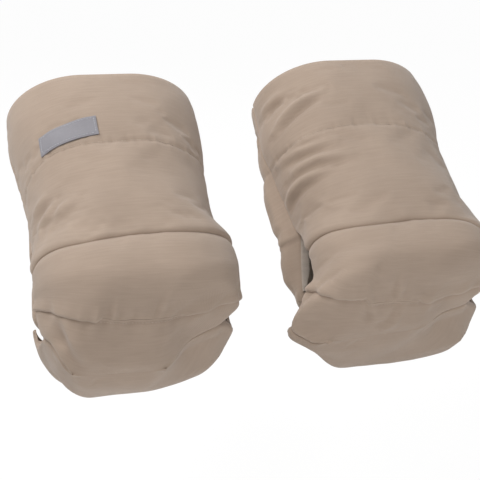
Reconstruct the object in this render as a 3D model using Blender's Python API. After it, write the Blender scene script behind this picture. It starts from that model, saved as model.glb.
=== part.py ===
# A pair of padded hand muffs, as they hang on a stroller's handlebar.
#
# Units are metres and +Z is up. The origin is on the handlebar's axis, midway between the muffs.
# The bar runs along X and isn't part of the model. The muffs' toes face -Y, and their sleeves
# lean back and up, towards the forearms of whoever pushes.
#
# Each muff is modelled upright in a frame of its own, which an empty then leans back:
#   x  across the muff, along the bar
#   y  from its front (-y) to its back (+y)
#   z  from its toe (-z) to its cuff (+z), with the bar's axis at zero
#
# A muff is sewn from layers: shell fabric, wadding and fleece lining. The shell of its front is
# three panels. Its back is an apron that hangs down behind the bar, and a flap that folds up
# from the toe, passes under the bar and snaps onto the apron.

from collections import namedtuple
from math import cos, pi, radians, sin

import bmesh
import bpy
from mathutils import Matrix, Vector

MM = 0.001

# The bar that the muffs are made for, and how the pair sits on it
HANDLEBAR_DIAMETER = 36 * MM
MUFF_SPACING = 236 * MM
SLEEVE_LEAN = radians(56)

# Driving sizes of a muff, from the bar's axis out
MUFF_WIDTH = 170 * MM
SLEEVE_LENGTH = 218 * MM
TOE_LENGTH = 69 * MM
FRONT_DEPTH = 82 * MM
BACK_DEPTH = 61 * MM

# The slots in its sides, which the bar passes through
SLOT_CLEARANCE = 7.5 * MM
SLOT_RISE = 66 * MM
SLOT_DROP = 31 * MM
TAPE_THICKNESS = 1.2 * MM

# Where the front and the flap part beside the toe, in front of the bar's axis
PARTING_DEPTH = 6 * MM

# Sewn layers, and the gaps between them
SHELL_THICKNESS = 1.2 * MM
WADDING_THICKNESS = 9 * MM
LINING_THICKNESS = 2.5 * MM
FACING_THICKNESS = 1.5 * MM
LAYER_GAP = 0.3 * MM
SEAM_GAP = 0.6 * MM
HEM_SEAM_GAP = 2.4 * MM

# The facing that makes the cuff's rolled rim and turns down inside the sleeve
CUFF_FACING_LENGTH = 92 * MM
CUFF_FACING_GAP = 0.7 * MM
RIM_STEPS = 4

# The unpadded hems of the flap and the apron, which overlap behind the bar
FLAP_HEM_TOP = 2 * MM
FLAP_HEM_LENGTH = 28 * MM
APRON_HEM_TOP = 6 * MM
APRON_HEM_LENGTH = 30 * MM
HEM_TAPER = 8 * MM

# Snap fasteners, from the cap outside to the post inside
SNAP_COUNT = 3
SNAP_PITCH = 44 * MM
SNAP_MARGIN = 4 * MM
SNAP_SIDES = 12
CAP_RADIUS = 6.2 * MM
CAP_CROWN_RADIUS = 4.6 * MM
CAP_RIM = 0.8 * MM
CAP_THICKNESS = 1.7 * MM
SHANK_RADIUS = 1.4 * MM
SHANK_CLEARANCE = 0.3 * MM
ROLL_RADIUS = 2.2 * MM
ROLL_THICKNESS = 0.5 * MM
SOCKET_RADIUS = 5.4 * MM
SOCKET_BORE_RADIUS = 2.9 * MM
SOCKET_HEIGHT = 3.0 * MM
SOCKET_FLOOR = 0.7 * MM
STUD_CLEARANCE = 0.3 * MM
STUD_WALL = 0.5 * MM
FLANGE_RADIUS = 5.2 * MM
FLANGE_THICKNESS = 0.8 * MM
POST_RADIUS = 5.5 * MM
POST_THICKNESS = 1.0 * MM
SEAT_GAP = 0.3 * MM
CUT_OVERRUN = 3 * MM
MERGE_DISTANCE = 0.003 * MM

# The bare woven label on the left muff's sleeve: its drop from the cuff's rim, and its place as a
# share of the way from the muff's middle to its left edge
LABEL_LENGTH = 54 * MM
LABEL_HEIGHT = 21 * MM
LABEL_THICKNESS = 0.8 * MM
LABEL_DROP = 62 * MM
LABEL_PLACE_SHARE = 0.48

# Steps of an arch across a muff: each rounded side, and the flat between them
SIDE_STEPS = 4
FLAT_STEPS = 2

# Edges that turn by more than this are shown sharp
SHARP_ANGLE = radians(38)

# Sizes that follow from those above
SLOT_REACH = HANDLEBAR_DIAMETER / 2 + SLOT_CLEARANCE
WADDING_TOP = SHELL_THICKNESS + LAYER_GAP
HEM_WALL = WADDING_TOP + FACING_THICKNESS
SNAP_STACK = SEAT_GAP + SOCKET_HEIGHT + SEAT_GAP + FLANGE_THICKNESS + SEAT_GAP
APRON_INSET = HEM_WALL + SNAP_STACK
FLAP_HEM_FOOT = FLAP_HEM_TOP - FLAP_HEM_LENGTH
APRON_HEM_FOOT = APRON_HEM_TOP - APRON_HEM_LENGTH
SNAP_HEIGHT = (FLAP_HEM_TOP + APRON_HEM_FOOT) / 2
HEM_FLAT = SNAP_PITCH * (SNAP_COUNT - 1) / 2 + CAP_RADIUS + SNAP_MARGIN
HOLE_RADIUS = SHANK_RADIUS + SHANK_CLEARANCE
FACING_FOOT = SLEEVE_LENGTH - CUFF_FACING_LENGTH
RIM_ROLL_RADIUS = (WADDING_TOP + WADDING_THICKNESS + CUFF_FACING_GAP + FACING_THICKNESS) / 2
RIM_TRIM = RIM_ROLL_RADIUS + CUFF_FACING_GAP

# A station is a place along a muff's side edges: 2 is the cuff's rim, 1 the slot's top, 0 the
# bar's axis, -1 the slot's foot and -2 the fold at the toe.
STATION_HEIGHTS = (
    (2, SLEEVE_LENGTH), (1, SLOT_RISE), (0, 0), (-1, -SLOT_DROP), (-2, -TOE_LENGTH),
)

# Half widths at stations, as shares of half MUFF_WIDTH
HALF_WIDTH_SHARES = (
    (2.0, 1.04), (1.75, 1.06), (1.46, 1.0), (1.2, 0.955), (1.0, 0.94), (0.64, 0.965),
    (0.3, 0.99), (0.0, 1.0), (-0.32, 0.99), (-0.65, 0.97), (-1.0, 0.93), (-1.37, 0.83),
    (-1.73, 0.7), (-2.0, 0.56),
)

# The outer surface, as arches across the muff from the cuff down to the fold at the toe.
# station       where the arch starts and ends on the side edges
# height, depth its middle, as shares of SLEEVE_LENGTH above the bar or TOE_LENGTH below it, and
#               of FRONT_DEPTH in front or BACK_DEPTH behind
# flat          half the width of its flat middle, as a share of its half width
# padding       its wadding, as a share of WADDING_THICKNESS
Arch = namedtuple("Arch", "name station height depth flat padding")
FRONT_SHARES = (
    Arch("rim", 2.0, 1.0, 0.75, 0.24, 1.0),
    Arch("swell", 1.75, 0.825, 0.85, 0.24, 1.0),
    Arch("upper sleeve", 1.46, 0.63, 0.83, 0.24, 1.0),
    Arch("lower sleeve", 1.2, 0.42, 0.91, 0.24, 1.0),
    Arch("slot top", 1.0, 0.24, 0.97, 0.26, 1.0),
    Arch("upper seam", 0.64, 0.10, 0.93, 0.30, 1.0),
    Arch("knuckle top", 0.3, 0.03, 0.99, 0.30, 1.0),
    Arch("knuckle", 0.12, -0.21, 1.01, 0.30, 1.0),
    Arch("knuckle foot", -0.08, -0.48, 0.88, 0.30, 1.0),
    Arch("lower seam", -0.32, -0.69, 0.64, 0.30, 1.0),
    Arch("toe top", -0.65, -0.81, 0.52, 0.30, 1.0),
    Arch("slot foot", -1.0, -0.90, 0.39, 0.30, 0.85),
    Arch("toe side", -1.37, -0.965, 0.27, 0.35, 0.6),
    Arch("toe corner", -1.73, -0.995, 0.17, 0.45, 0.35),
    Arch("fold", -2.0, -1.0, None, 0.6, 0.2),
)
APRON_SHARES = (
    Arch("rim", 2.0, 1.0, -0.98, 0.24, 1.0),
    Arch("swell", 1.75, 0.825, -1.07, 0.24, 1.0),
    Arch("upper sleeve", 1.46, 0.62, -1.0, 0.26, 1.0),
    Arch("lower sleeve", 1.2, 0.45, -1.06, 0.30, 1.0),
    Arch("slot top", 1.0, 0.31, -1.06, 0.36, 1.0),
    Arch("shoulder", 0.6, 0.17, -1.06, 0.48, 1.0),
)
FLAP_SHARES = (
    Arch("flap back", -0.84, -0.66, -0.95, 0.45, 1.0),
    Arch("slot foot", -1.0, -0.83, -0.79, 0.36, 1.0),
    Arch("toe side", -1.37, -0.96, -0.50, 0.35, 0.8),
    Arch("toe corner", -1.73, -1.02, -0.16, 0.45, 0.45),
    Arch("fold", -2.0, -1.0, None, 0.6, 0.2),
)

# The hems' wadding where it tapers out, and the side edges' height where their middles are low
HEM_PADDING_SHARE = 0.55
HEM_EDGE_SHARE = 0.45

# How far the wall leans out at the ends of the fold, for each unit it goes in
FOLD_SPLAY_SHARE = 0.6

# Colours, roughness, sheen and metal of the materials
FINISHES = {
    "shell": ((0.42, 0.325, 0.255), 0.62, 0.25, 0),
    "facing": ((0.36, 0.275, 0.215), 0.68, 0.2, 0),
    "wadding": ((0.85, 0.84, 0.8), 0.9, 0, 0),
    "lining": ((0.4, 0.34, 0.28), 0.95, 0.4, 0),
    "tape": ((0.3, 0.24, 0.19), 0.75, 0.1, 0),
    "label": ((0.33, 0.32, 0.35), 0.6, 0.1, 0),
    "cap": ((0.36, 0.28, 0.22), 0.35, 0, 0),
    "snap": ((0.62, 0.6, 0.57), 0.3, 0, 1),
}
MATERIAL_OF = {
    "sleeve_panel": "shell", "knuckle_panel": "shell", "toe_panel": "shell", "back_panel": "shell",
    "flap_shell": "shell", "front_wadding": "wadding", "back_wadding": "wadding",
    "flap_wadding": "wadding", "front_lining": "lining", "back_lining": "lining",
    "flap_lining": "lining", "cuff_facing": "facing", "back_hem_facing": "facing",
    "flap_hem_facing": "facing", "slot_tape_left": "tape", "slot_tape_right": "tape",
    "label": "label", "snap_cap": "cap", "snap_socket": "snap", "snap_stud": "snap",
    "snap_post": "snap",
}
HEM_PIECES = ("back_panel", "back_hem_facing", "flap_shell", "flap_hem_facing")
FLAP_SNAP_PIECES = ("snap_cap", "snap_socket")

Surface = namedtuple("Surface", "names points normals paths paddings")


def interpolated(table, key):
    """The value at a key, in a table of falling (key, value) pairs."""
    for (high, first), (low, second) in zip(table, table[1:]):
        if high >= key >= low:
            return second + (first - second) * (key - low) / (high - low)
    return table[0][1] if key > table[0][0] else table[-1][1]


def station_at(height):
    return interpolated([(place, station) for station, place in STATION_HEIGHTS], height)


def edge_of(station, side):
    """The place (half width, y, z) of a side edge. side is 1 in front and -1 behind."""
    opening = 1 - min(abs(station), 1) ** 2
    middle = PARTING_DEPTH * (1 - opening) if station < 0 else 0
    forward = middle + side * (SLOT_REACH * opening + SEAM_GAP / 2)
    half_width = MUFF_WIDTH / 2 * interpolated(HALF_WIDTH_SHARES, station)
    return Vector((half_width, -forward, interpolated(STATION_HEIGHTS, station)))


def middle_of(arch, side):
    """The place (0, y, z) of an arch's middle. Without a depth of its own it is at the parting."""
    length = SLEEVE_LENGTH if arch.height > 0 else TOE_LENGTH
    if arch.depth is None:
        return Vector((0, edge_of(arch.station, side).y, arch.height * length))
    depth = FRONT_DEPTH if arch.depth > 0 else BACK_DEPTH
    return Vector((0, -arch.depth * depth, arch.height * length))


def arch_row(edge, middle, flat, side):
    """Points across an arch, and its direction at each of them.

    It runs from -x to +x in front (side 1) and from +x to -x behind (side -1). Its flat middle
    leads on to a quarter of an ellipse, which meets the side edge square to it."""
    reach = edge.x - flat
    rise = middle - edge
    quarter = []
    for step in range(SIDE_STEPS):
        turn = pi / 2 * step / SIDE_STEPS
        point = Vector((
            flat + reach * cos(turn), edge.y + rise.y * sin(turn), edge.z + rise.z * sin(turn) ** 2,
        ))
        slope = Vector((reach * sin(turn), -rise.y * cos(turn), -rise.z * sin(2 * turn)))
        quarter.append((point, slope))
    flats = [
        (Vector((flat * (2 * step / FLAT_STEPS - 1), middle.y, middle.z)), Vector((1, 0, 0)))
        for step in range(FLAT_STEPS + 1)
    ]
    left = [(Vector((-p.x, p.y, p.z)), Vector((s.x, -s.y, -s.z))) for p, s in quarter]
    row = left + flats + quarter[::-1]
    if side < 0:
        row = [(point, -slope) for point, slope in row[::-1]]
    return [point for point, _ in row], [slope for _, slope in row]


def surface_through(rows, side):
    """The surface through rows of (name, edge, middle, flat, padding), with outward normals."""
    arches = [arch_row(edge, middle, flat, side) for _, edge, middle, flat, _ in rows]
    grid = [points for points, _ in arches]
    last = len(rows) - 1
    normals, paths = [], []
    for i, (points, slopes) in enumerate(arches):
        above, below = grid[max(i - 1, 0)], grid[min(i + 1, last)]
        row_paths = [(low - high).normalized() for high, low in zip(above, below)]
        if rows[i][0] == "fold":
            splay = FOLD_SPLAY_SHARE / points[0].x
            row_normals = [Vector((abs(splay) * p.x, 0, -1)).normalized() for p in points]
        else:
            row_normals = [path.cross(slope).normalized() for path, slope in zip(row_paths, slopes)]
            for j in (0, -1):
                row_normals[j].y = 0
                row_normals[j].normalize()
        normals.append(row_normals)
        paths.append(row_paths)
    return Surface([row[0] for row in rows], grid, normals, paths, [row[4] for row in rows])


def rows_of(arches, side):
    rows = []
    for arch in arches:
        edge = edge_of(arch.station, side)
        rows.append((arch.name, edge, middle_of(arch, side), arch.flat * edge.x, arch.padding))
    return rows


def hem_row(name, height, edge_height):
    """An arch of the back whose middle lies flat under the snaps, at heights of its own."""
    edge = edge_of(station_at(edge_height), -1)
    return name, edge, Vector((0, BACK_DEPTH, height)), HEM_FLAT, HEM_PADDING_SHARE


def front_surface():
    return surface_through(rows_of(FRONT_SHARES, 1), 1)


def apron_surface():
    waist = APRON_HEM_TOP + HEM_TAPER
    return surface_through(rows_of(APRON_SHARES, -1) + [
        hem_row("waist", waist, waist),
        hem_row("hem top", APRON_HEM_TOP, APRON_HEM_TOP),
        hem_row("hem foot", APRON_HEM_FOOT, APRON_HEM_FOOT * HEM_EDGE_SHARE),
    ], -1)


def flap_surface():
    edge_foot = FLAP_HEM_FOOT * HEM_EDGE_SHARE
    return surface_through([
        hem_row("hem top", FLAP_HEM_TOP, FLAP_HEM_TOP),
        hem_row("hem foot", FLAP_HEM_FOOT, edge_foot),
        hem_row("pad top", FLAP_HEM_FOOT - HEM_TAPER, edge_foot - HEM_TAPER),
    ] + rows_of(FLAP_SHARES, -1), -1)


def with_row(surface, name, height):
    """The surface with one more row, where its side edges are at a height."""
    low = next(i for i, row in enumerate(surface.points) if row[0].z < height)
    high_z, low_z = surface.points[low - 1][0].z, surface.points[low][0].z
    share = (high_z - height) / (high_z - low_z)
    fields = []
    for field in (surface.points, surface.normals, surface.paths):
        row = [above.lerp(below, share) for above, below in zip(field[low - 1], field[low])]
        fields.append(field[:low] + [row] + field[low:])
    names = surface.names[:low] + [name] + surface.names[low:]
    paddings = surface.paddings[:low] + [surface.paddings[low]] + surface.paddings[low:]
    return Surface(names, *fields, paddings)


def between_columns(surface, left, right):
    """The part of a front surface between two places across it."""
    fields = ([], [], [])
    inner = [j for j, point in enumerate(surface.points[0]) if left < point.x < right]
    for i, row in enumerate(surface.points):
        ends = []
        for j, across in ((inner[0] - 1, left), (inner[-1], right)):
            ends.append((j, (across - row[j].x) / (row[j + 1].x - row[j].x)))
        for field, rows in zip((surface.points, surface.normals, surface.paths), fields):
            first, last = (field[i][j].lerp(field[i][j + 1], share) for j, share in ends)
            rows.append([first] + [field[i][j] for j in inner] + [last])
    return Surface(surface.names, *fields, surface.paddings)


def stretch(surface, first, last):
    """The rows of a surface from one name to another."""
    low, high = surface.names.index(first), surface.names.index(last) + 1
    return Surface(*(field[low:high] for field in surface))


def skin(bm, rows):
    """Triangles over a grid of vertices, whose diagonals mirror about the middle column."""
    columns = len(rows[0]) - 1
    for upper, lower in zip(rows, rows[1:]):
        for j in range(columns):
            a, b, c, d = upper[j], upper[j + 1], lower[j + 1], lower[j]
            corners = ((a, b, d), (b, c, d)) if j < columns / 2 else ((a, b, c), (a, c, d))
            for corner in corners:
                bm.faces.new(corner)


def swept(bm, sections, closed):
    """Triangles along a row of sections, which are closed loops of points."""
    rings = [[bm.verts.new(point) for point in section] for section in sections]
    following = rings[1:] + rings[:1] if closed else rings[1:]
    for ring, after in zip(rings, following):
        for k in range(len(ring)):
            n = (k + 1) % len(ring)
            bm.faces.new((ring[k], ring[n], after[n]))
            bm.faces.new((ring[k], after[n], after[k]))
    if not closed:
        bm.faces.new(rings[0])
        bm.faces.new(rings[-1])


def finished(bm, name):
    """The mesh of a closed body, with its faces pointing out."""
    bmesh.ops.recalc_face_normals(bm, faces=bm.faces)
    if bm.calc_volume(signed=True) < 0:
        bmesh.ops.reverse_faces(bm, faces=bm.faces)
    mesh = bpy.data.meshes.new(name)
    bm.to_mesh(mesh)
    bm.free()
    mesh.shade_smooth()
    mesh.set_sharp_from_angle(angle=SHARP_ANGLE)
    return mesh


def layer(name, surface, outer, inner, trim_top=0, trim_foot=0):
    """A closed sheet between two depths under a surface, which are lists with one for each row.

    Its first and last rows are trimmed back along the surface."""
    bm = bmesh.new()
    last = len(surface.points) - 1
    faces = []
    for depths in (outer, inner):
        rows = []
        for i, depth in enumerate(depths):
            shift = trim_top if i == 0 else -trim_foot if i == last else 0
            places = zip(surface.points[i], surface.normals[i], surface.paths[i])
            rows.append([
                bm.verts.new(point + path * shift - normal * depth) for point, normal, path in places
            ])
        faces.append(rows)
    outside, inside = faces
    skin(bm, outside)
    skin(bm, inside)
    for end in (0, -1):
        skin(bm, [outside[end], inside[end]])
        skin(bm, [[row[end] for row in rows] for rows in faces])
    return finished(bm, name)


def shell_layer(name, surface, trim_top=0, trim_foot=0, depths=None):
    outer = depths or [0] * len(surface.points)
    inner = [depth + SHELL_THICKNESS for depth in outer]
    return layer(name, surface, outer, inner, trim_top, trim_foot)


def wadding_foot(surface):
    return [WADDING_TOP + WADDING_THICKNESS * padding for padding in surface.paddings]


def wadding_layer(name, surface, trim_top=0, trim_foot=0):
    outer = [WADDING_TOP] * len(surface.points)
    return layer(name, surface, outer, wadding_foot(surface), trim_top, trim_foot)


def lining_layer(name, surface, trim_top=0, trim_foot=0):
    outer = [depth + LAYER_GAP for depth in wadding_foot(surface)]
    inner = [depth + LINING_THICKNESS for depth in outer]
    return layer(name, surface, outer, inner, trim_top, trim_foot)


def facing_layer(name, surface, outer, trim_top=0, trim_foot=0):
    inner = [depth + FACING_THICKNESS for depth in outer]
    return layer(name, surface, outer, inner, trim_top, trim_foot)


def front_meshes():
    half = SEAM_GAP / 2
    surface = front_surface()
    faced = with_row(surface, "facing foot", FACING_FOOT)
    sleeve = stretch(surface, "rim", "upper seam")
    knuckle = stretch(surface, "upper seam", "lower seam")
    toe = stretch(surface, "lower seam", "fold")
    return {
        "sleeve_panel": shell_layer("sleeve_panel", sleeve, RIM_TRIM, half),
        "knuckle_panel": shell_layer("knuckle_panel", knuckle, half, half),
        "toe_panel": shell_layer("toe_panel", toe, half),
        "front_wadding": wadding_layer("front_wadding", surface, RIM_TRIM),
        "front_lining": lining_layer("front_lining", stretch(faced, "facing foot", "fold"), half),
    }


def apron_meshes():
    half = SEAM_GAP / 2
    surface = apron_surface()
    faced = with_row(surface, "facing foot", FACING_FOOT)
    hem_top = surface.names.index("hem top")
    insets = [0 if i < hem_top else APRON_INSET for i in range(len(surface.names))]
    hem = stretch(surface, "waist", "hem foot")
    under = [wadding_foot(hem)[0] + LAYER_GAP] + [APRON_INSET + WADDING_TOP] * 2
    padded = stretch(surface, "rim", "waist")
    lined = stretch(faced, "facing foot", "waist")
    return {
        "back_panel": shell_layer("back_panel", surface, RIM_TRIM, depths=insets),
        "back_wadding": wadding_layer("back_wadding", padded, RIM_TRIM, half),
        "back_lining": lining_layer("back_lining", lined, half, half),
        "back_hem_facing": facing_layer("back_hem_facing", hem, under, half),
    }


def flap_meshes():
    half = SEAM_GAP / 2
    surface = flap_surface()
    padded = stretch(surface, "pad top", "fold")
    hem = stretch(surface, "hem top", "pad top")
    under = [WADDING_TOP] * 2 + [wadding_foot(padded)[0] + LAYER_GAP]
    return {
        "flap_shell": shell_layer("flap_shell", surface),
        "flap_wadding": wadding_layer("flap_wadding", padded, half),
        "flap_lining": lining_layer("flap_lining", padded, half),
        "flap_hem_facing": facing_layer("flap_hem_facing", hem, under, 0, HEM_SEAM_GAP),
    }


def cuff_facing_mesh():
    """A ring whose section rolls over the rim and turns down inside the sleeve."""
    sections = []
    turns = [pi * step / RIM_STEPS for step in range(RIM_STEPS + 1)]
    for surface in (front_surface(), apron_surface()):
        faced = with_row(surface, "facing foot", FACING_FOOT)
        wall = stretch(faced, "rim", "facing foot")
        inner = 2 * RIM_ROLL_RADIUS
        outer = inner - FACING_THICKNESS
        for j in range(len(wall.points[0]) - 1):
            (rim, normal), *below = [
                (row[j], row_normals[j]) for row, row_normals in zip(wall.points, wall.normals)
            ]
            down = wall.paths[0][j]
            foot = rim + down * RIM_ROLL_RADIUS
            centre = foot - normal * RIM_ROLL_RADIUS
            sections.append(
                [centre + (normal * cos(turn) - down * sin(turn)) * RIM_ROLL_RADIUS for turn in turns]
                + [point - point_normal * inner for point, point_normal in below]
                + [point - point_normal * outer for point, point_normal in below[::-1]]
                + [foot - normal * outer]
            )
    bm = bmesh.new()
    swept(bm, sections, True)
    return finished(bm, "cuff_facing")


def slot_edge(surface, foot, column):
    """The (point, normal, wall depth) of a slot's edge, from the slot's top down."""
    cut = stretch(surface, "slot top", foot)
    depths = [depth + LAYER_GAP + LINING_THICKNESS for depth in wadding_foot(cut)]
    return [(cut.points[i][column], cut.normals[i][column], depth) for i, depth in enumerate(depths)]


def slot_tape_mesh(name, side):
    """A tape on a slot's cut edge: up its front, over its top and down its back to the waist.

    side is 1 for the slot at +x and -1 for the one at -x."""
    front = slot_edge(front_surface(), "slot foot", -1 if side > 0 else 0)
    back = slot_edge(apron_surface(), "waist", 0 if side > 0 else -1)
    (x, _, z), normal, depth = front[0]
    places = front[:0:-1] + [(Vector((x, 0, z)), normal, depth)] + back[1:]
    sections = []
    for i, (point, normal, depth) in enumerate(places):
        before = (point - places[i - 1][0]).normalized() if i else Vector()
        after = (places[i + 1][0] - point).normalized() if i + 1 < len(places) else Vector()
        along = (before + after).normalized()
        mitre = along.dot(after if i + 1 < len(places) else before)
        inward = along.cross(normal).normalized() * side / mitre
        near, far = point + inward * LAYER_GAP, point + inward * (LAYER_GAP + TAPE_THICKNESS)
        sections.append((near, far, far - normal * depth, near - normal * depth))
    bm = bmesh.new()
    swept(bm, sections, False)
    return finished(bm, name)


def label_mesh():
    top = SLEEVE_LENGTH - LABEL_DROP
    surface = stretch(front_surface(), "rim", "slot top")
    surface = with_row(with_row(surface, "label top", top), "label foot", top - LABEL_HEIGHT)
    middle = -LABEL_PLACE_SHARE * MUFF_WIDTH / 2
    left, right = middle - LABEL_LENGTH / 2, middle + LABEL_LENGTH / 2
    patch = between_columns(stretch(surface, "label top", "label foot"), left, right)
    count = len(patch.points)
    return layer("label", patch, [-LAYER_GAP - LABEL_THICKNESS] * count, [-LAYER_GAP] * count)


def turned(name, profile, closed=False):
    """A round piece about the y axis, from (radius, y) points."""
    bm = bmesh.new()
    verts = [bm.verts.new((radius, along, 0)) for radius, along in profile]
    edges = [bm.edges.new(pair) for pair in zip(verts, verts[1:])]
    if closed:
        edges.append(bm.edges.new((verts[-1], verts[0])))
    bmesh.ops.spin(
        bm, geom=verts + edges, cent=(0, 0, 0), axis=(0, 1, 0), angle=2 * pi, steps=SNAP_SIDES,
        use_merge=True,
    )
    bmesh.ops.remove_doubles(bm, verts=bm.verts, dist=MERGE_DISTANCE)
    bmesh.ops.triangulate(bm, faces=bm.faces)
    return finished(bm, name)


def snap_meshes():
    """The four pieces of a snap, from the outside in, with y from the bar's axis."""
    head = BACK_DEPTH + SEAT_GAP
    socket_top = BACK_DEPTH - HEM_WALL - SEAT_GAP
    socket_foot = socket_top - SOCKET_HEIGHT
    floor = socket_top - SOCKET_FLOOR
    roll_top = floor - SEAT_GAP
    roll_foot = roll_top - ROLL_THICKNESS
    flange_top = socket_foot - SEAT_GAP
    flange_foot = flange_top - FLANGE_THICKNESS
    stud_top = roll_foot - SEAT_GAP
    stud_radius = SOCKET_BORE_RADIUS - STUD_CLEARANCE
    bore_top = stud_top - STUD_WALL
    post_top = flange_foot - SEAT_GAP - HEM_WALL - SEAT_GAP
    return {
        "snap_cap": turned("snap_cap", (
            (0, head + CAP_THICKNESS), (CAP_CROWN_RADIUS, head + CAP_THICKNESS),
            (CAP_RADIUS, head + CAP_RIM), (CAP_RADIUS, head), (SHANK_RADIUS, head),
            (SHANK_RADIUS, roll_top), (ROLL_RADIUS, roll_top), (ROLL_RADIUS, roll_foot),
            (0, roll_foot),
        )),
        "snap_socket": turned("snap_socket", (
            (HOLE_RADIUS, socket_top), (SOCKET_RADIUS, socket_top), (SOCKET_RADIUS, socket_foot),
            (SOCKET_BORE_RADIUS, socket_foot), (SOCKET_BORE_RADIUS, floor), (HOLE_RADIUS, floor),
        ), closed=True),
        "snap_stud": turned("snap_stud", (
            (0, stud_top), (stud_radius, stud_top), (stud_radius, flange_top),
            (FLANGE_RADIUS, flange_top), (FLANGE_RADIUS, flange_foot), (HOLE_RADIUS, flange_foot),
            (HOLE_RADIUS, bore_top), (0, bore_top),
        )),
        "snap_post": turned("snap_post", (
            (0, bore_top - SEAT_GAP), (SHANK_RADIUS, bore_top - SEAT_GAP), (SHANK_RADIUS, post_top),
            (POST_RADIUS, post_top), (POST_RADIUS, post_top - POST_THICKNESS),
            (0, post_top - POST_THICKNESS),
        )),
    }


def snap_places():
    return [SNAP_PITCH * (i - (SNAP_COUNT - 1) / 2) for i in range(SNAP_COUNT)]


def hole_cutter_mesh():
    """A pin through both hems at each snap."""
    bm = bmesh.new()
    length = APRON_INSET + HEM_WALL + 2 * CUT_OVERRUN
    middle = BACK_DEPTH - (APRON_INSET + HEM_WALL) / 2
    for across in snap_places():
        place = Matrix.Translation((across, middle, SNAP_HEIGHT)) @ Matrix.Rotation(pi / 2, 4, "X")
        bmesh.ops.create_cone(
            bm, cap_ends=True, segments=SNAP_SIDES, radius1=HOLE_RADIUS, radius2=HOLE_RADIUS,
            depth=length, matrix=place,
        )
    return finished(bm, "hole_cutter")


def materials():
    made = {}
    for name, (colour, roughness, sheen, metallic) in FINISHES.items():
        material = bpy.data.materials.new(name)
        material.use_nodes = True
        material.diffuse_color = (*colour, 1)
        shader = material.node_tree.nodes["Principled BSDF"]
        shader.inputs["Base Color"].default_value = (*colour, 1)
        shader.inputs["Roughness"].default_value = roughness
        shader.inputs["Sheen Weight"].default_value = sheen
        shader.inputs["Metallic"].default_value = metallic
        made[name] = material
    return made


def add(name, mesh, parent, location=(0, 0, 0)):
    obj = bpy.data.objects.new(name, mesh)
    obj.parent = parent
    obj.location = location
    bpy.context.scene.collection.objects.link(obj)
    return obj


def add_cutter(mesh, parent, location):
    cutter = add(f"{parent.name}_hole_cutter", mesh, parent, location)
    cutter.hide_render = True
    cutter.display_type = "WIRE"
    return cutter


def add_muff(side_name, across, fixed_meshes, flap_pieces, snaps, cutter_mesh):
    muff = add(f"{side_name}_muff_frame", None, None, (across, 0, 0))
    muff.rotation_euler.x = -SLEEVE_LEAN
    hinge_place = Vector((0, -PARTING_DEPTH, -TOE_LENGTH))
    hinge = add(f"{side_name}_flap_hinge", None, muff, hinge_place)
    for meshes, parent, offset in (
        (fixed_meshes, muff, Vector()), (flap_pieces, hinge, -hinge_place),
    ):
        cutter = add_cutter(cutter_mesh, parent, offset)
        for name, mesh in meshes.items():
            obj = add(f"{side_name}_{name}", mesh, parent, offset)
            if name in HEM_PIECES:
                holes = obj.modifiers.new("snap holes", "BOOLEAN")
                holes.object = cutter
                holes.solver = "EXACT"
    for name, mesh in snaps.items():
        on_flap = name in FLAP_SNAP_PIECES
        parent, offset = (hinge, -hinge_place) if on_flap else (muff, Vector())
        for i, place in enumerate(snap_places(), 1):
            add(f"{side_name}_{name}_{i}", mesh, parent, offset + Vector((place, 0, SNAP_HEIGHT)))
    return muff


def main():
    for obj in list(bpy.data.objects):
        bpy.data.objects.remove(obj)
    fixed = front_meshes() | apron_meshes() | {
        "cuff_facing": cuff_facing_mesh(),
        "slot_tape_left": slot_tape_mesh("slot_tape_left", -1),
        "slot_tape_right": slot_tape_mesh("slot_tape_right", 1),
    }
    flap = flap_meshes()
    snaps = snap_meshes()
    label = label_mesh()
    made = materials()
    for name, mesh in (fixed | flap | snaps | {"label": label}).items():
        mesh.materials.append(made[MATERIAL_OF[name]])
    cutter = hole_cutter_mesh()
    left = add_muff("left", -MUFF_SPACING / 2, fixed, flap, snaps, cutter)
    add_muff("right", MUFF_SPACING / 2, fixed, flap, snaps, cutter)
    add("left_label", label, left)


main()
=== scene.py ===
# The looks of a pair of padded stroller muffs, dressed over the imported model.
#
# Units are metres, in the frame of the CAD model: X along the handlebar, Y away from the camera
# and +Z up. The cloth of each muff is worked out in the muff's own upright frame, and then leant
# back: x across, y from its front (-y) to its back (+y), z from its toe (-z) to its cuff (+z),
# with the bar's axis at zero.
#
# The shell is simulated as one pressed-out cloth for each muff's body and one for each flap. It is
# then cut into its panels, whose edges roll in at the seams, and the folds are pushed into it.

from collections import namedtuple
from math import cos, pi, radians, sin

import bpy
import numpy as np
from mathutils import Matrix, Vector

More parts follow.
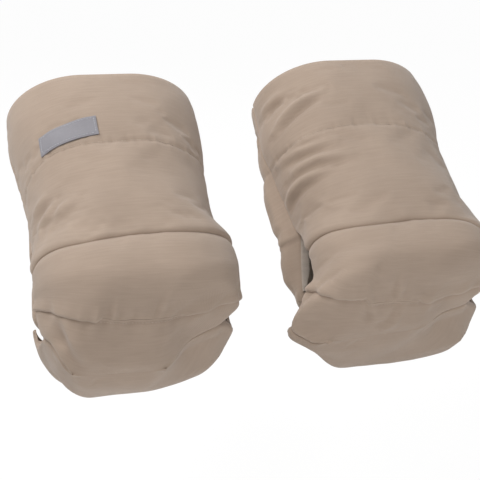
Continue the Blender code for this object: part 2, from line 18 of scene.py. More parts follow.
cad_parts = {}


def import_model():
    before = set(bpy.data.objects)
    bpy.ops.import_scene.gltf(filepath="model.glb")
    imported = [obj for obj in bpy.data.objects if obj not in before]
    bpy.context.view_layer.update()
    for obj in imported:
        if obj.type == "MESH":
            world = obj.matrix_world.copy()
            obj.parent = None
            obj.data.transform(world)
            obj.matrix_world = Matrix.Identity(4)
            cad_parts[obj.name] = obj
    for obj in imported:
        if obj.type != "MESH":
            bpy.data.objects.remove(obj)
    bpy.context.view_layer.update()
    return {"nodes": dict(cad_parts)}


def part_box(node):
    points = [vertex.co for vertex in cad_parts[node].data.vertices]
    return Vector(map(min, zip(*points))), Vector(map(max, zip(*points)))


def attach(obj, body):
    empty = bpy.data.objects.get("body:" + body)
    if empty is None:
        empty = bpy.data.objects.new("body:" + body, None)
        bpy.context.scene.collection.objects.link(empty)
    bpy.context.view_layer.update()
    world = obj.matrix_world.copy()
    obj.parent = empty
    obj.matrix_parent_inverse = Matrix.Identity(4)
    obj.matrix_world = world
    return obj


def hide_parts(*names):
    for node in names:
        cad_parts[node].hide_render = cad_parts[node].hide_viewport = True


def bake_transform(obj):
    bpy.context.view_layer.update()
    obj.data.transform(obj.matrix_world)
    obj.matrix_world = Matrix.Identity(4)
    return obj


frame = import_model()

MM = 0.001

# Sizes of a muff, as in the CAD model
SLEEVE_LEAN = radians(56)
MUFF_WIDTH = 170 * MM
SLEEVE_LENGTH = 218 * MM
TOE_LENGTH = 69 * MM
FRONT_DEPTH = 82 * MM
BACK_DEPTH = 61 * MM
SLOT_REACH = 25.5 * MM
SLOT_RISE = 66 * MM
SLOT_DROP = 31 * MM
PARTING_DEPTH = 6 * MM
SEAM_GAP = 0.6 * MM
SHELL_THICKNESS = 1.2 * MM
WADDING_TOP = 1.5 * MM
WADDING_THICKNESS = 9 * MM
LAYER_GAP = 0.3 * MM
LINING_THICKNESS = 2.5 * MM
FACING_THICKNESS = 1.5 * MM
CUFF_FACING_LENGTH = 92 * MM
FLAP_HEM_TOP = 2 * MM
FLAP_HEM_FOOT = -26 * MM
APRON_HEM_TOP = 6 * MM
APRON_HEM_FOOT = -24 * MM
HEM_TAPER = 8 * MM
HEM_FLAT = 54.2 * MM
HEM_EDGE_SHARE = 0.45
APRON_INSET = 7.7 * MM

# How the cloth is cut up for the simulation, and how finely its panels are shaped after it
COLUMNS = 53
ARCH_STEPS = 60
GRID_STEP = 4.6 * MM
SLEEVE_ROWS = 34
STATION_MARGIN = 0.02
NORMAL_SMOOTHING = 6
FINE_STEP = 2 * MM
ROLL_STEPS = 6
RIM_STEPS = 10

# Simulation of the cloth: its settings, and how far it may swell
PINNED_RIM_ROWS = 3
FRAMES = 20
SWELL_CAP = 6 * MM
CLOTH_SETTINGS = dict(
    quality=6, mass=0.3, tension_stiffness=25, compression_stiffness=25, shear_stiffness=10,
    bending_stiffness=3, air_damping=2, use_pressure=True, uniform_pressure_force=4,
    shrink_min=-0.0035, vertex_group_mass="pins",
)

# Rolled edges of the panels. The rim's roll turns past its crest, and the cuff's facing starts
# a little before its end.
RIM_ROLL = 6.6 * MM
RIM_TURN = radians(125)
CUFF_TURN = radians(122)
SLOT_ROLL = 7 * MM
SIDE_SEAM_ROLL = 2.6 * MM
HEM_ROLL = 1.4 * MM
SEAM_ROLL = 4.2 * MM
FLAT_SEAM_ROLL = 0.6 * MM
FOLD_ROLL = 0.25 * MM
UNDER_RIM_SHARE = 0.75
SHARP_ANGLE = radians(50)

# Where a side edge's roll changes, from the slot's foot and from its top
FOOT_CHANGE = (-12 * MM, 10 * MM)
TOP_CHANGE = (-4 * MM, 8 * MM)

# Where the pushes of a muff fade out round the hems: behind the bar, and over a range of heights
HEM_BEHIND = (8 * MM, 42 * MM)
HEM_RANGE = (-66 * MM, -38 * MM, 16 * MM, 40 * MM)

# Where the parting beside the toe is pushed forward: a range of depths below the bar, and distances
# from the middle and from the parting
PARTING_RANGE = (18 * MM, 40 * MM, 54 * MM, 74 * MM)
PARTING_SIDE = (25 * MM, 55 * MM)
PARTING_REACH = 40 * MM

# Unevenness of the cloth: the length and height of its waves, and the pitch, depth and reach of the
# gathers at its stitched lines. Several of each are added up, with their lengths spread by chance.
SHELL_WAVES = ((70 * MM, 0.6 * MM), (26 * MM, 0.1 * MM))
LINING_WAVES = (26 * MM, 0.5 * MM)
CUFF_WAVES = (30 * MM, 0.5 * MM)
WAVE_COUNT = 7
WAVE_SPREAD = (0.7, 1.5)
HEM_PUCKERS = (11 * MM, 0.45 * MM, 6 * MM)
KNUCKLE_PUCKERS = (24 * MM, 0.9 * MM, 9 * MM)
TOE_PUCKERS = (24 * MM, 0.9 * MM, 12 * MM)
PUCKER_SIZES = (0.6, 1.0, 1.7)
PUCKER_SPREAD = (0.9, 1.1)

# A fold's dip, as a share of its height, lies this many widths beside it. Its ends taper off.
DIP_SHARE = 0.8
DIP_PLACE = 1.5
FOLD_END = 0.04
FOLD_TAPER = 0.7

# Distances over which the folds fade out towards the edges, and where that starts at the hems
SIDE_FADE = 9 * MM
RIM_FADE = 14 * MM
HEM_FADE = 16 * MM
TOE_FADE = 12 * MM
FLAP_FADE = 10 * MM
ABOVE_APRON = 4 * MM
BELOW_FLAP_HEM = 2 * MM

# How a panel hangs over the one below its seam: over what reach, how far out and how far down. The
# cloth dips just below such a seam, and where it is stitched flat the overhang ends in short slopes.
Overhang = namedtuple("Overhang", "reach lift slide")
SLEEVE_OVERHANG = Overhang(16 * MM, 1.6 * MM, 3.5 * MM)
KNUCKLE_OVERHANG = Overhang(14 * MM, 2.4 * MM, 4.4 * MM)
DIP_REACH = 9 * MM
KNUCKLE_DIP = 2 * MM
TOE_DIP = 2.2 * MM
FLAT_SLOPES = (7 * MM, 9 * MM)

# Trimmings
HEM_SEAM_GAP = 2.4 * MM
FLEECE_INSET = 5 * MM
CORNER_REACH = 36 * MM
CORNER_THINNING = 0.85
TAPE_TOP = 5.5 * MM
TAPE_THICKNESS = 1.2 * MM
TAPE_SIDES = 14
TAPE_BULGE_SHARE = 0.75
TAPE_SUNK_SHARE = 1 / 3
TOPSTITCH_INSET = 3 * MM
STITCH_PITCH = 2.6 * MM
STITCH_SHARE = 0.72
STITCH_RADIUS = 0.32 * MM
STITCH_STEPS = 7
STITCH_SIDES = 6
STITCH_TIP = 0.96
STITCH_SUNK = 0.45
STITCH_SAMPLES = 160
STITCH_END = 9 * MM
GROOVE_DEPTH = 0.9 * MM
GROOVE_WIDTH = 1.7 * MM
LABEL_LENGTH = 54 * MM
LABEL_HEIGHT = 21 * MM
LABEL_THICKNESS = 0.8 * MM
LABEL_ACROSS = -43.5 * MM
LABEL_DOWN = 78 * MM
LABEL_TILT = 0.11
LABEL_LIFT = 0.9 * MM
LABEL_EDGE = 1.2 * MM
LABEL_EDGE_SHARE = 0.55
LABEL_SEAM_INSET = 1.7 * MM
LABEL_GROOVE_DEPTH = 0.25 * MM
LABEL_GROOVE_WIDTH = 0.5 * MM
LABEL_COLUMNS = 53
LABEL_ROWS = 21
LABEL_COLUMN_SPANS = 4
LABEL_ROW_SPANS = 2

# Textures: the cloth's places are in units of this length, in which a wave has 20 / (2 pi) periods
WEAVE_UNIT = 100 * MM
WAVE_PERIODS = 20 / (2 * pi)
SHELL_DARK = (0.40, 0.305, 0.237)
SHELL_LIGHT = (0.455, 0.350, 0.274)
# The paler colour mixed into the shell on its convex edges
SHELL_EDGE_PALE = (0.52, 0.41, 0.33)
TWILL = radians(28)
FLEECE_DARK = (0.36, 0.31, 0.26)
FLEECE_LIGHT = (0.56, 0.50, 0.43)
LABEL_DARK = (0.20, 0.192, 0.212)
LABEL_LIGHT = (0.29, 0.278, 0.302)

# Light
FLOOR_SIZE = 8
FLOOR_PLACE = (0, 1, -0.24)
FLOOR_GLOW = 1.04
FLOOR_GLOW_SHARE = 0.91
SURROUND_LIGHT = 0.36
LIT_PLACE = (0, 0.05, 0.05)
LAMPS = (
    ("key", (-0.75, -0.05, 1.2), 0.9, 13.4),
    ("fill", (0.35, -1.35, 0.2), 1.2, 5),
    ("back", (-0.2, 1.1, 1.2), 1.0, 7),
)

# Camera, set to the photograph, which is taken as 480 pixels a side
IMAGE_SIZE = 480
SENSOR_WIDTH = 36
FOCAL_PIXELS = 1044
CAMERA_DISTANCE = 0.91
CAMERA_AZIMUTH = radians(-15)
CAMERA_ELEVATION = radians(20)
CAMERA_ROLL = radians(1.5)
ORIGIN_PIXEL = (270, 297)

# The surface of each cut of cloth, as arches across the muff from its top down. A station is a place
# along the side edges: 2 is the cuff's rim, 1 the slot's top, 0 the bar's axis, -1 the slot's foot
# and -2 the fold at the toe. The columns are the arch's station, its middle's height and depth as
# shares of the muff's sizes, the share of its width that is flat, and the share of the wadding.
FRONT_SHARES = (
    (2.0, 1.0, 0.75, 0.24, 1.0),
    (1.75, 0.825, 0.80, 0.24, 1.0),
    (1.46, 0.63, 0.83, 0.24, 1.0),
    (1.2, 0.42, 0.86, 0.24, 1.0),
    (1.0, 0.24, 0.92, 0.26, 1.0),
    (0.64, 0.10, 0.93, 0.30, 1.0),
    (0.3, 0.03, 0.99, 0.30, 1.0),
    (0.12, -0.21, 1.01, 0.30, 1.0),
    (-0.08, -0.48, 0.88, 0.30, 1.0),
    (-0.32, -0.69, 0.66, 0.30, 1.0),
    (-0.65, -0.81, 0.53, 0.30, 1.0),
    (-1.0, -0.90, 0.39, 0.30, 0.85),
    (-1.37, -0.965, 0.27, 0.35, 0.6),
    (-1.73, -0.995, 0.17, 0.45, 0.35),
    (-2.0, -1.0, 0.075, 0.6, 0.2),
)
BACK_SHARES = (
    (2.0, 1.0, 0.98, 0.24, 1.0),
    (1.75, 0.825, 1.01, 0.24, 1.0),
    (1.46, 0.62, 1.0, 0.26, 1.0),
    (1.2, 0.45, 0.985, 0.30, 1.0),
    (1.0, 0.31, 0.985, 0.36, 1.0),
    (0.6, 0.17, 1.0, 0.48, 1.0),
)
FLAP_SHARES = (
    (-0.84, -0.66, 0.95, 0.45, 1.0),
    (-1.0, -0.83, 0.79, 0.36, 1.0),
    (-1.37, -0.96, 0.50, 0.35, 0.8),
    (-1.73, -1.02, 0.16, 0.45, 0.45),
    (-2.0, -1.0, -0.1, 0.6, 0.2),
)
HEM_PADDING_SHARE = 0.55
STATION_HEIGHTS = (
    (2, SLEEVE_LENGTH), (1, SLOT_RISE), (0, 0), (-1, -SLOT_DROP), (-2, -TOE_LENGTH),
)
HALF_WIDTH_SHARES = (
    (2.0, 1.04), (1.75, 1.06), (1.46, 1.0), (1.2, 0.955), (1.0, 0.94), (0.64, 0.965),
    (0.3, 0.99), (0.0, 1.0), (-0.32, 0.99), (-0.65, 0.97), (-1.0, 0.93), (-1.37, 0.83),
    (-1.73, 0.7), (-2.0, 0.56),
)
UPPER_SEAM = 0.64
LOWER_SEAM = -0.32

# A fold runs along a line of (across, down) places on the cloth, in millimetres from the front's
# middle line and from the rim. Its crest is height high and width wide, with a dip beside it.
Fold = namedtuple("Fold", "line width height")

# How a muff has been pushed at a height, in millimetres: sideways, up, wider at each edge, and up
# at its right edge
Push = namedtuple("Push", "height across up widen tilt")

# One muff: its place along the bar in metres, and in millimetres its pushes, how far forward its
# parting lies on the left of the toe, how far down the cuff's hem and the two cross seams are drawn
# at (across, down) places, the ends of the lower seam's part that is stitched flat, and the rolls
# of the left and right edges beside the toe. Then come its random seed and its folds.
Muff = namedtuple(
    "Muff",
    "name across pushes forward hem_seam upper_seam lower_seam flat_seam parting_rolls seed"
    " front_folds back_folds",
)


def middle_of(node):
    low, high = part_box(node)
    return (low.x + high.x) / 2


MUFFS = (
    Muff(
        name="left",
        across=middle_of("left_cuff_facing"),
        pushes=(
            Push(218, -4, 2, 0, 0), Push(120, -2, 0, -1, 0), Push(66, -1, 0, 1, 0),
            Push(42, 2, 0, 3, 0), Push(0, 0, 0, 1, 0), Push(-20, 0, 0, 2, 1),
            Push(-31, -6.5, 1, -4.5, 2), Push(-50, -19, 4, -17, 3), Push(-70, -23, 4.5, -17, -2),
        ),
        forward=15,
        hem_seam=((90, -2), (60, 2), (0, 1), (-60, 2), (-85, 6), (-110, 14)),
        upper_seam=((90, 0), (60, -1), (10, -3), (-20, -2), (-50, 3), (-80, 6)),
        lower_seam=((90, 5), (65, 7), (30, 3), (0, 1), (-30, -4), (-60, -6), (-90, -4)),
        flat_seam=(-25, 58),
        parting_rolls=(3.5, 1),
        seed=3,
        front_folds=(
            Fold(((-94, 182), (-90, 170), (-77, 161), (-68, 151)), 5, 3.4),
            Fold(((-88, 179), (-75, 169), (-63, 164), (-47, 154)), 5, 2.8),
            Fold(((-99, 152), (-83, 142), (-68, 136)), 6, 2.4),
            Fold(((-66, 288), (-50, 303), (-36, 312), (-22, 320)), 7, 3.8),
            Fold(((-16, 266), (-12, 280), (-13, 292)), 3.5, 1.4),
            Fold(((30, 262), (34, 278), (33, 292)), 3.5, 1.4),
        ),
        back_folds=(),
    ),
    Muff(
        name="right",
        across=middle_of("right_cuff_facing"),
        pushes=(
            Push(218, 0, 13, -1, 0), Push(185, 1, 10, -1, 0), Push(150, -2, 8, 1.5, 0),
            Push(120, -3, 6, 0, 0), Push(66, 1, 0, 1, 0), Push(0, -2, 0, -1, 0),
            Push(-20, -11, 1, 6, 1), Push(-31, -24, 2, 4, 2), Push(-50, -33, 10, -8, 4),
            Push(-70, -37, 18.5, -10, 3.5),
        ),
        forward=-12,
        hem_seam=((90, 14), (50, 9), (0, 5), (-60, 3)),
        upper_seam=(
            (95, 34), (80, 24), (65, 14), (50, 7), (30, 2), (0, 0), (-30, 2), (-60, 4), (-90, 5),
        ),
        lower_seam=(
            (90, 12), (60, 17), (20, 13), (-18, 9), (-28, 0), (-45, -1), (-65, -5), (-80, -4), (-95, 0),
        ),
        flat_seam=(-24, 38),
        parting_rolls=(1.2, 1),
        seed=4,
        front_folds=(
            Fold(((-126, 152), (-108, 143), (-88, 139), (-58, 138)), 6, 4.4),
            Fold(((-98, 124), (-63, 124), (-34, 130)), 5, 3.4),
            Fold(((-104, 100), (-70, 107), (-42, 110)), 5, 3.2),
            Fold(((-84, 94), (-48, 99)), 4.5, 1.6),
            Fold(((-96, 66), (-70, 56), (-42, 47)), 5, 5),
            Fold(((-110, 34), (-90, 30), (-76, 30)), 5, 2.8),
            Fold(((4, 280), (10, 296), (16, 312)), 4, 1.8),
            Fold(((20, 312), (13, 330), (6, 342)), 5, 1.6),
            Fold(((-26, 294), (-18, 306), (-4, 324)), 4, 1.8),
        ),
        back_folds=(
            Fold(((-106, 85), (-98, 175)), 24, 13), Fold(((-100, 150), (-94, 222)), 14, 10),
        ),
    ),
)


def smooth(table, at):
    """Values on a smooth line through (key, value) pairs of falling key, which doesn't overshoot."""
    keys, values = np.array(table, float)[::-1].T
    steps, rises = np.diff(keys), np.diff(values)
    slopes = rises / steps
    tangents = np.zeros(len(keys))
    tangents[0], tangents[-1] = slopes[0], slopes[-1]
    before, after = slopes[:-1], slopes[1:]
    same = before * after > 0
    tangents[1:-1][same] = 2 * before[same] * after[same] / (before[same] + after[same])
    i = np.clip(np.searchsorted(keys, at, side="right") - 1, 0, len(steps) - 1)
    t = (at - keys[i]) / steps[i]
    bend = t * (1 - t) * steps[i] * (tangents[i] * (1 - t) - tangents[i + 1] * t)
    return values[i] + rises[i] * t * t * (3 - 2 * t) + bend


def share_between(values, start, end):
    """0 at start and before it, and 1 from the end on."""
    return np.clip((values - start) / (end - start), 0, 1)


def share_within(values, foot, low, high, top):
    """1 from low to high, and 0 below the foot and above the top."""
    return share_between(values, foot, low) * (1 - share_between(values, high, top))


def eased(t):
    t = np.clip(t, 0, 1)
    return t * t * (3 - 2 * t)


def near(distance, reach):
    """1 at an edge, and 0 from a reach away from it on."""
    return eased(1 - distance / reach)


def unit(vectors):
    return vectors / np.maximum(np.linalg.norm(vectors, axis=-1, keepdims=True), 1e-12)


def lengths_along(points, axis):
    """Distance from the first row or column, along the surface."""
    steps = np.linalg.norm(np.diff(points, axis=axis), axis=-1)
    start = np.zeros_like(steps.take([0], axis))
    return np.concatenate([start, np.cumsum(steps, axis=axis)], axis)


def edge_places(stations, side):
    """Places of a side edge. side is 1 in front and -1 behind."""
    keys, heights = np.array(STATION_HEIGHTS[::-1], float).T
    opening = 1 - np.minimum(np.abs(stations), 1) ** 2
    middle = np.where(stations < 0, PARTING_DEPTH * (1 - opening), 0)
    forward = middle + side * (SLOT_REACH * opening + SEAM_GAP / 2)
    half_width = MUFF_WIDTH / 2 * smooth(HALF_WIDTH_SHARES, stations)
    return np.stack([half_width, -forward, np.interp(stations, keys, heights)], 1)


def arch_rows(shares, whole_depth):
    """The rows of a table of shares, with their heights and depths in metres."""
    return [
        (station, height * (SLEEVE_LENGTH if height > 0 else TOE_LENGTH), depth * whole_depth, *rest)
        for station, height, depth, *rest in shares
    ]


def hem_row(height, edge_height):
    """The row of a hem at the heights of its middle and of its side edges."""
    keys, heights = np.array(STATION_HEIGHTS[::-1], float).T
    station = float(np.interp(edge_height, heights, keys))
    half_width = edge_places(np.array([station]), -1)[0, 0]
    return station, height, BACK_DEPTH, HEM_FLAT / half_width, HEM_PADDING_SHARE


def column(rows, index, stations):
    """One value of a table's rows at stations, on a smooth line through them."""
    return smooth([(row[0], row[index]) for row in rows], stations)


def middle_line(rows, stations, side):
    depths = column(rows, 2, stations)
    return np.stack([0 * depths, -side * depths, column(rows, 1, stations)], 1)


def down_columns(grid, places):
    """Points at fractional places down each column of a grid, on smooth curves through it."""
    g = np.concatenate([2 * grid[:1] - grid[1:2], grid, 2 * grid[-1:] - grid[-2:-1]])
    i = np.clip(places.astype(int), 0, len(g) - 4)
    t = (places - i)[..., None]
    p0, p1, p2, p3 = (g[i + k, np.arange(g.shape[1])] for k in range(4))
    bend = 2 * p0 - 5 * p1 + 4 * p2 - p3 + t * (3 * (p1 - p2) + p3 - p0)
    return p1 + t / 2 * (p2 - p0 + t * bend)


def sampled(grid, rows, columns):
    """A grid at fractional rows and columns, on smooth curves through its points."""
    for axis, places in ((0, rows), (1, columns)):
        grid = np.moveaxis(down_columns(np.moveaxis(grid, axis, 0), places[:, None]), 0, axis)
    return grid


def spaced(rows, side, first, last):
    """Stations whose middles are about a grid step apart."""
    dense = np.linspace(first, last, 300)
    length = lengths_along(middle_line(rows, dense, side), 0)
    count = max(3, round(length[-1] / GRID_STEP) + 1)
    return np.interp(np.linspace(0, length[-1], count), length, dense)


def surface(cut):
    """Points of a cut's surface: a row across, from -x to +x, for each station."""
    edges = edge_places(cut.stations, cut.side)
    middles = middle_line(cut.rows, cut.stations, cut.side)
    flats = column(cut.rows, 3, cut.stations) * edges[:, 0]
    turns = np.linspace(0, pi / 2, ARCH_STEPS)
    grid = []
    for edge, middle, flat in zip(edges, middles, flats):
        rise = middle - edge
        x = flat + (edge[0] - flat) * np.cos(turns)
        y, z = edge[1] + rise[1] * np.sin(turns), edge[2] + rise[2] * np.sin(turns) ** 2
        half = np.stack([x, y, z], 1)
        row = np.concatenate([half * (-1, 1, 1), half[::-1]])
        length = lengths_along(row, 0)
        places = np.linspace(0, length[-1], COLUMNS)
        grid.append(np.stack([np.interp(places, length, row[:, k]) for k in range(3)], 1))
    return np.array(grid)


def at_hem(points):
    """1 around the hems behind the bar, where nothing may be pushed off the snaps."""
    _, y, z = np.moveaxis(points, -1, 0)
    return share_between(y, *HEM_BEHIND) * share_within(z, *HEM_RANGE)


def warped(points, muff):
    """Points of the pattern where this muff's pushes have moved them to."""
    across, up, widen, tilt = (
        smooth([(push.height * MM, push[k] * MM) for push in muff.pushes], points[..., 2])
        for k in range(1, 5)
    )
    x, y, z = np.moveaxis(points, -1, 0)
    share = x / (MUFF_WIDTH / 2)
    near_edge = share_between(-x, *PARTING_SIDE) * (1 - np.abs(y + PARTING_DEPTH) / PARTING_REACH)
    forward = muff.forward * MM * eased(share_within(-z, *PARTING_RANGE)) * eased(near_edge)
    push = np.stack([across + widen * share, -forward, up + tilt * share], -1)
    return points + push * (1 - at_hem(points))[..., None]


def normals_of(points, side):
    down, across = np.gradient(points, axis=0), np.gradient(points, axis=1)
    return unit(np.cross(down, across)) * side


def world(points, muff):
    """Places in the model's frame for points of a muff's own frame."""
    x, y, z = np.moveaxis(points, -1, 0)
    c, s = cos(SLEEVE_LEAN), sin(SLEEVE_LEAN)
    return np.stack([x + muff.across, c * y + s * z, -s * y + c * z], -1)


def quads(rows, columns, flip, start=0, wrap=False):
    i, j = np.meshgrid(
        np.arange(rows - 1), np.arange(columns if wrap else columns - 1), indexing="ij"
    )
    i, j, n = i.ravel(), j.ravel(), (j.ravel() + 1) % columns
    a, b = start + i * columns + j, start + i * columns + n
    c, d = b + columns, a + columns
    return np.stack([a, b, c, d] if flip else [a, d, c, b], 1)


def tube_faces(rows, sides, flip, start=0):
    """The faces of a tube of rings, with a cap at each end."""
    caps = [range(start, start + sides), range(start + (rows - 1) * sides, start + rows * sides)]
    caps[0 if flip else 1] = caps[0 if flip else 1][::-1]
    return [*quads(rows, sides, flip, start, True), *caps]


def mesh_object(name, verts, faces, material, places=None):
    """An object in the model's frame. places gives each vertex its place in the weave."""
    mesh = bpy.data.meshes.new(name)
    mesh.from_pydata(verts.tolist(), [], [[int(i) for i in face] for face in faces])
    if places is not None:
        corners = np.empty(len(mesh.loops), int)
        mesh.loops.foreach_get("vertex_index", corners)
        mesh.uv_layers.new(name="weave").data.foreach_set("uv", places[corners].ravel())
    mesh.shade_smooth()
    mesh.set_sharp_from_angle(angle=SHARP_ANGLE)
    if material:
        mesh.materials.append(material)
    obj = bpy.data.objects.new(name, mesh)
    bpy.context.scene.collection.objects.link(obj)
    return obj


def closed_sheet(word, muff, outer, inner, side, material, places, wrap=False):
    """A sheet between two grids in a muff's frame, closed all round or wrapped into a ring."""
    rows, columns = outer.shape[:2]
    count = rows * columns
    verts = world(np.concatenate([outer.reshape(-1, 3), inner.reshape(-1, 3)]), muff)
    faces = [quads(rows, columns, side < 0, 0, wrap), quads(rows, columns, side > 0, count, wrap)]
    index = np.arange(count).reshape(rows, columns)
    borders = [(index[0], side > 0), (index[-1], side < 0)]
    if not wrap:
        borders += [(index[:, 0], side < 0), (index[:, -1], side > 0)]
    for border, flip in borders:
        a, b = (border, np.roll(border, -1)) if wrap else (border[:-1], border[1:])
        ring = [a, b, b + count, a + count]
        faces.append(np.stack(ring if flip else ring[::-1], 1))
    places = np.concatenate([places.reshape(-1, 2)] * 2)
    return mesh_object(f"{muff.name}_{word}", verts, np.concatenate(faces), material, places)


# Simulation


def cloth(name, verts, faces, pinned):
    obj = mesh_object(name, verts, faces, None)
    group = obj.vertex_groups.new(name="pins")
    group.add([int(i) for i in np.flatnonzero(pinned)], 1.0, "REPLACE")
    settings = obj.modifiers.new("cloth", "CLOTH").settings
    for key, value in CLOTH_SETTINGS.items():
        setattr(settings, key, value)
    settings.effector_weights.gravity = 0
    return obj


def pressed_out(jobs):
    """The vertices of each (verts, faces, pinned) job after its cloth has been pressed out."""
    objects = [cloth(f"cloth_{i}", *job) for i, job in enumerate(jobs)]
    scene = bpy.context.scene
    for step in range(1, FRAMES + 1):
        scene.frame_set(step)
    results = []
    for obj, (verts, _, _) in zip(objects, jobs):
        evaluated = obj.evaluated_get(bpy.context.evaluated_depsgraph_get())
        moved = np.empty(len(verts) * 3, np.float32)
        evaluated.data.vertices.foreach_get("co", moved)
        shift = moved.reshape(-1, 3) - verts
        far = np.linalg.norm(shift, axis=1, keepdims=True)
        results.append(verts + shift * np.minimum(1, SWELL_CAP / np.maximum(far, 1e-9)))
        bpy.data.objects.remove(obj)
    scene.frame_set(1)
    return results


# A cut of cloth. Its hem is the stations where its wadding has ended and where it is full.
Cut = namedtuple("Cut", "rows stations side hem")

sleeve_stations = np.linspace(2, 1, SLEEVE_ROWS)
front_rows = arch_rows(FRONT_SHARES, FRONT_DEPTH)
back_rows = arch_rows(BACK_SHARES, BACK_DEPTH) + [
    hem_row(APRON_HEM_TOP + HEM_TAPER, APRON_HEM_TOP + HEM_TAPER),
    hem_row(APRON_HEM_TOP, APRON_HEM_TOP),
    hem_row(APRON_HEM_FOOT, APRON_HEM_FOOT * HEM_EDGE_SHARE),
]
FLAP_HEM_EDGE = FLAP_HEM_FOOT * HEM_EDGE_SHARE
flap_rows = [
    hem_row(FLAP_HEM_TOP, FLAP_HEM_TOP),
    hem_row(FLAP_HEM_FOOT, FLAP_HEM_EDGE),
    hem_row(FLAP_HEM_FOOT - HEM_TAPER, FLAP_HEM_EDGE - HEM_TAPER),
] + arch_rows(FLAP_SHARES, BACK_DEPTH)
WAIST, APRON_TOP = back_rows[-3][0], back_rows[-2][0]
FLAP_FOOT, PAD_TOP = flap_rows[1][0], flap_rows[2][0]
FRONT = Cut(
    front_rows,
    np.concatenate([sleeve_stations] + [
        spaced(front_rows, 1, *ends)[1:]
        for ends in ((1, UPPER_SEAM), (UPPER_SEAM, LOWER_SEAM), (LOWER_SEAM, -2))
    ]),
    1, (),
)
BACK = Cut(
    back_rows,
    np.concatenate([sleeve_stations, spaced(back_rows, -1, 1, back_rows[-1][0])[1:]]),
    -1, (APRON_TOP, WAIST),
)
FLAP = Cut(flap_rows, spaced(flap_rows, -1, flap_rows[0][0], -2), -1, (FLAP_FOOT, PAD_TOP))
UPPER_ROW, LOWER_ROW = (
    int(np.abs(FRONT.stations - seam).argmin()) for seam in (UPPER_SEAM, LOWER_SEAM)
)


class Surface:
    """A cut's pattern and the cloth pressed out over it, which are sampled by distance.

    Down is measured along the middle from the pattern's first row, and across from the middle."""

    def __init__(self, cut, pattern, pressed):
        self.pattern, self.pressed, self.side = pattern, pressed.reshape(pattern.shape), cut.side
        self.paddings = column(cut.rows, 4, cut.stations)
        normals = normals_of(pattern, cut.side)
        for _ in range(NORMAL_SMOOTHING):
            ends = np.concatenate([normals[:, :1], normals, normals[:, -1:]], 1)
            normals = unit(ends[:, :-2] + 2 * ends[:, 1:-1] + ends[:, 2:])
        self.normals = normals
        self.down = lengths_along(pattern[:, COLUMNS // 2], 0)
        self.girths = lengths_along(pattern, 1)[:, -1]
        self.hem = [np.interp(-station, -cut.stations, self.down) for station in cut.hem]


def close_at_ends(first, last, first_roll, last_roll):
    """Distances from first to last, a fine step apart and closer over the rolled edges."""
    bends = 1 - np.cos(np.linspace(0, pi / 2, ROLL_STEPS))
    start, end = first + first_roll * bends, last - last_roll * bends[::-1]
    count = max(2, round((end[0] - start[-1]) / FINE_STEP) + 1)
    return np.concatenate([start[:-1], np.linspace(start[-1], end[0], count), end[1:]])


def roll_depth(distance, radius):
    """How far a rolled edge has turned in, at a distance from the edge."""
    left = np.clip(radius - distance, 0, radius)
    return radius - np.sqrt(radius**2 - left**2)


class Patch:
    """A fine grid over part of a surface, whose outer points are then shaped."""

    def __init__(self, surface, first, last, first_roll=0, last_roll=0):
        self.surface = surface
        self.distances = close_at_ends(first, last, first_roll, last_roll)
        rows = np.interp(self.distances, surface.down, np.arange(len(surface.down)))
        girth = np.interp(rows, np.arange(len(surface.girths)), surface.girths)
        middle_girth = np.median(girth)
        self.shares = close_at_ends(0, middle_girth, SLOT_ROLL, SLOT_ROLL) / middle_girth
        columns = self.shares * (COLUMNS - 1)
        self.girths = girth
        self.outer = sampled(surface.pressed, rows, columns)
        self.base = sampled(surface.pattern, rows, columns)
        self.normals = unit(sampled(surface.normals, rows, columns))
        self.across = girth[:, None] * (self.shares - 0.5)
        self.down = self.distances[:, None] + 0 * self.across
        self.from_side = girth[:, None] * np.minimum(self.shares, 1 - self.shares)
        paddings = np.interp(rows, np.arange(len(surface.paddings)), surface.paddings)
        off_end = surface.down[-1] - self.distances
        near_end, near_side = (
            1 - share_between(distance, 0, CORNER_REACH) for distance in (off_end, self.from_side)
        )
        padding = paddings[:, None] * (1 - CORNER_THINNING * near_end[:, None] * near_side)
        self.wadding_foot = WADDING_TOP + WADDING_THICKNESS * padding
        self.from_top = self.distances[:, None] - first
        self.from_foot = last - self.distances[:, None]

    def shape(self, heights, side, top, foot):
        """Pushes the outer points out by heights, and in where the edges roll by their radii."""
        rolls = (self.from_side, side), (self.from_top, top), (self.from_foot, foot)
        for distance, radius in rolls:
            heights = heights - roll_depth(distance, radius)
        self.outer = self.outer + self.normals * heights[..., None]
        return self

    def slide(self, distances):
        """Moves the outer points along the cloth, towards its foot."""
        along = unit(np.gradient(self.base, axis=0))
        self.outer = self.outer + along * distances[..., None]

    def inner(self, depth):
        """Points at a depth under the pattern."""
        return self.base - self.normals * np.broadcast_to(depth, self.across.shape)[..., None]

    def under_wadding(self, bare=WADDING_TOP, gap=0):
        """The depth below the wadding and a gap, or the bare depth on a hem that has no wadding."""
        full = self.wadding_foot + gap
        share = share_between(self.down, *self.surface.hem) if self.surface.hem else 1
        return bare + (full - bare) * share

    def at(self, across, down):
        """The outer points and normals at distances across and down."""
        rows = np.interp(down, self.distances, np.arange(len(self.distances)))
        girth = np.interp(down, self.distances, self.girths)
        columns = np.interp(across / girth + 0.5, self.shares, np.arange(len(self.shares)))
        normals = normals_of(self.outer, self.surface.side)
        i = np.minimum(rows.astype(int), len(self.distances) - 2)
        j = np.minimum(columns.astype(int), len(self.shares) - 2)
        s, t = (rows - i)[..., None], (columns - j)[..., None]
        points, normals = (
            (g[i, j] * (1 - t) + g[i, j + 1] * t) * (1 - s)
            + (g[i + 1, j] * (1 - t) + g[i + 1, j + 1] * t) * s
            for g in (self.outer, normals)
        )
        return points, unit(normals)


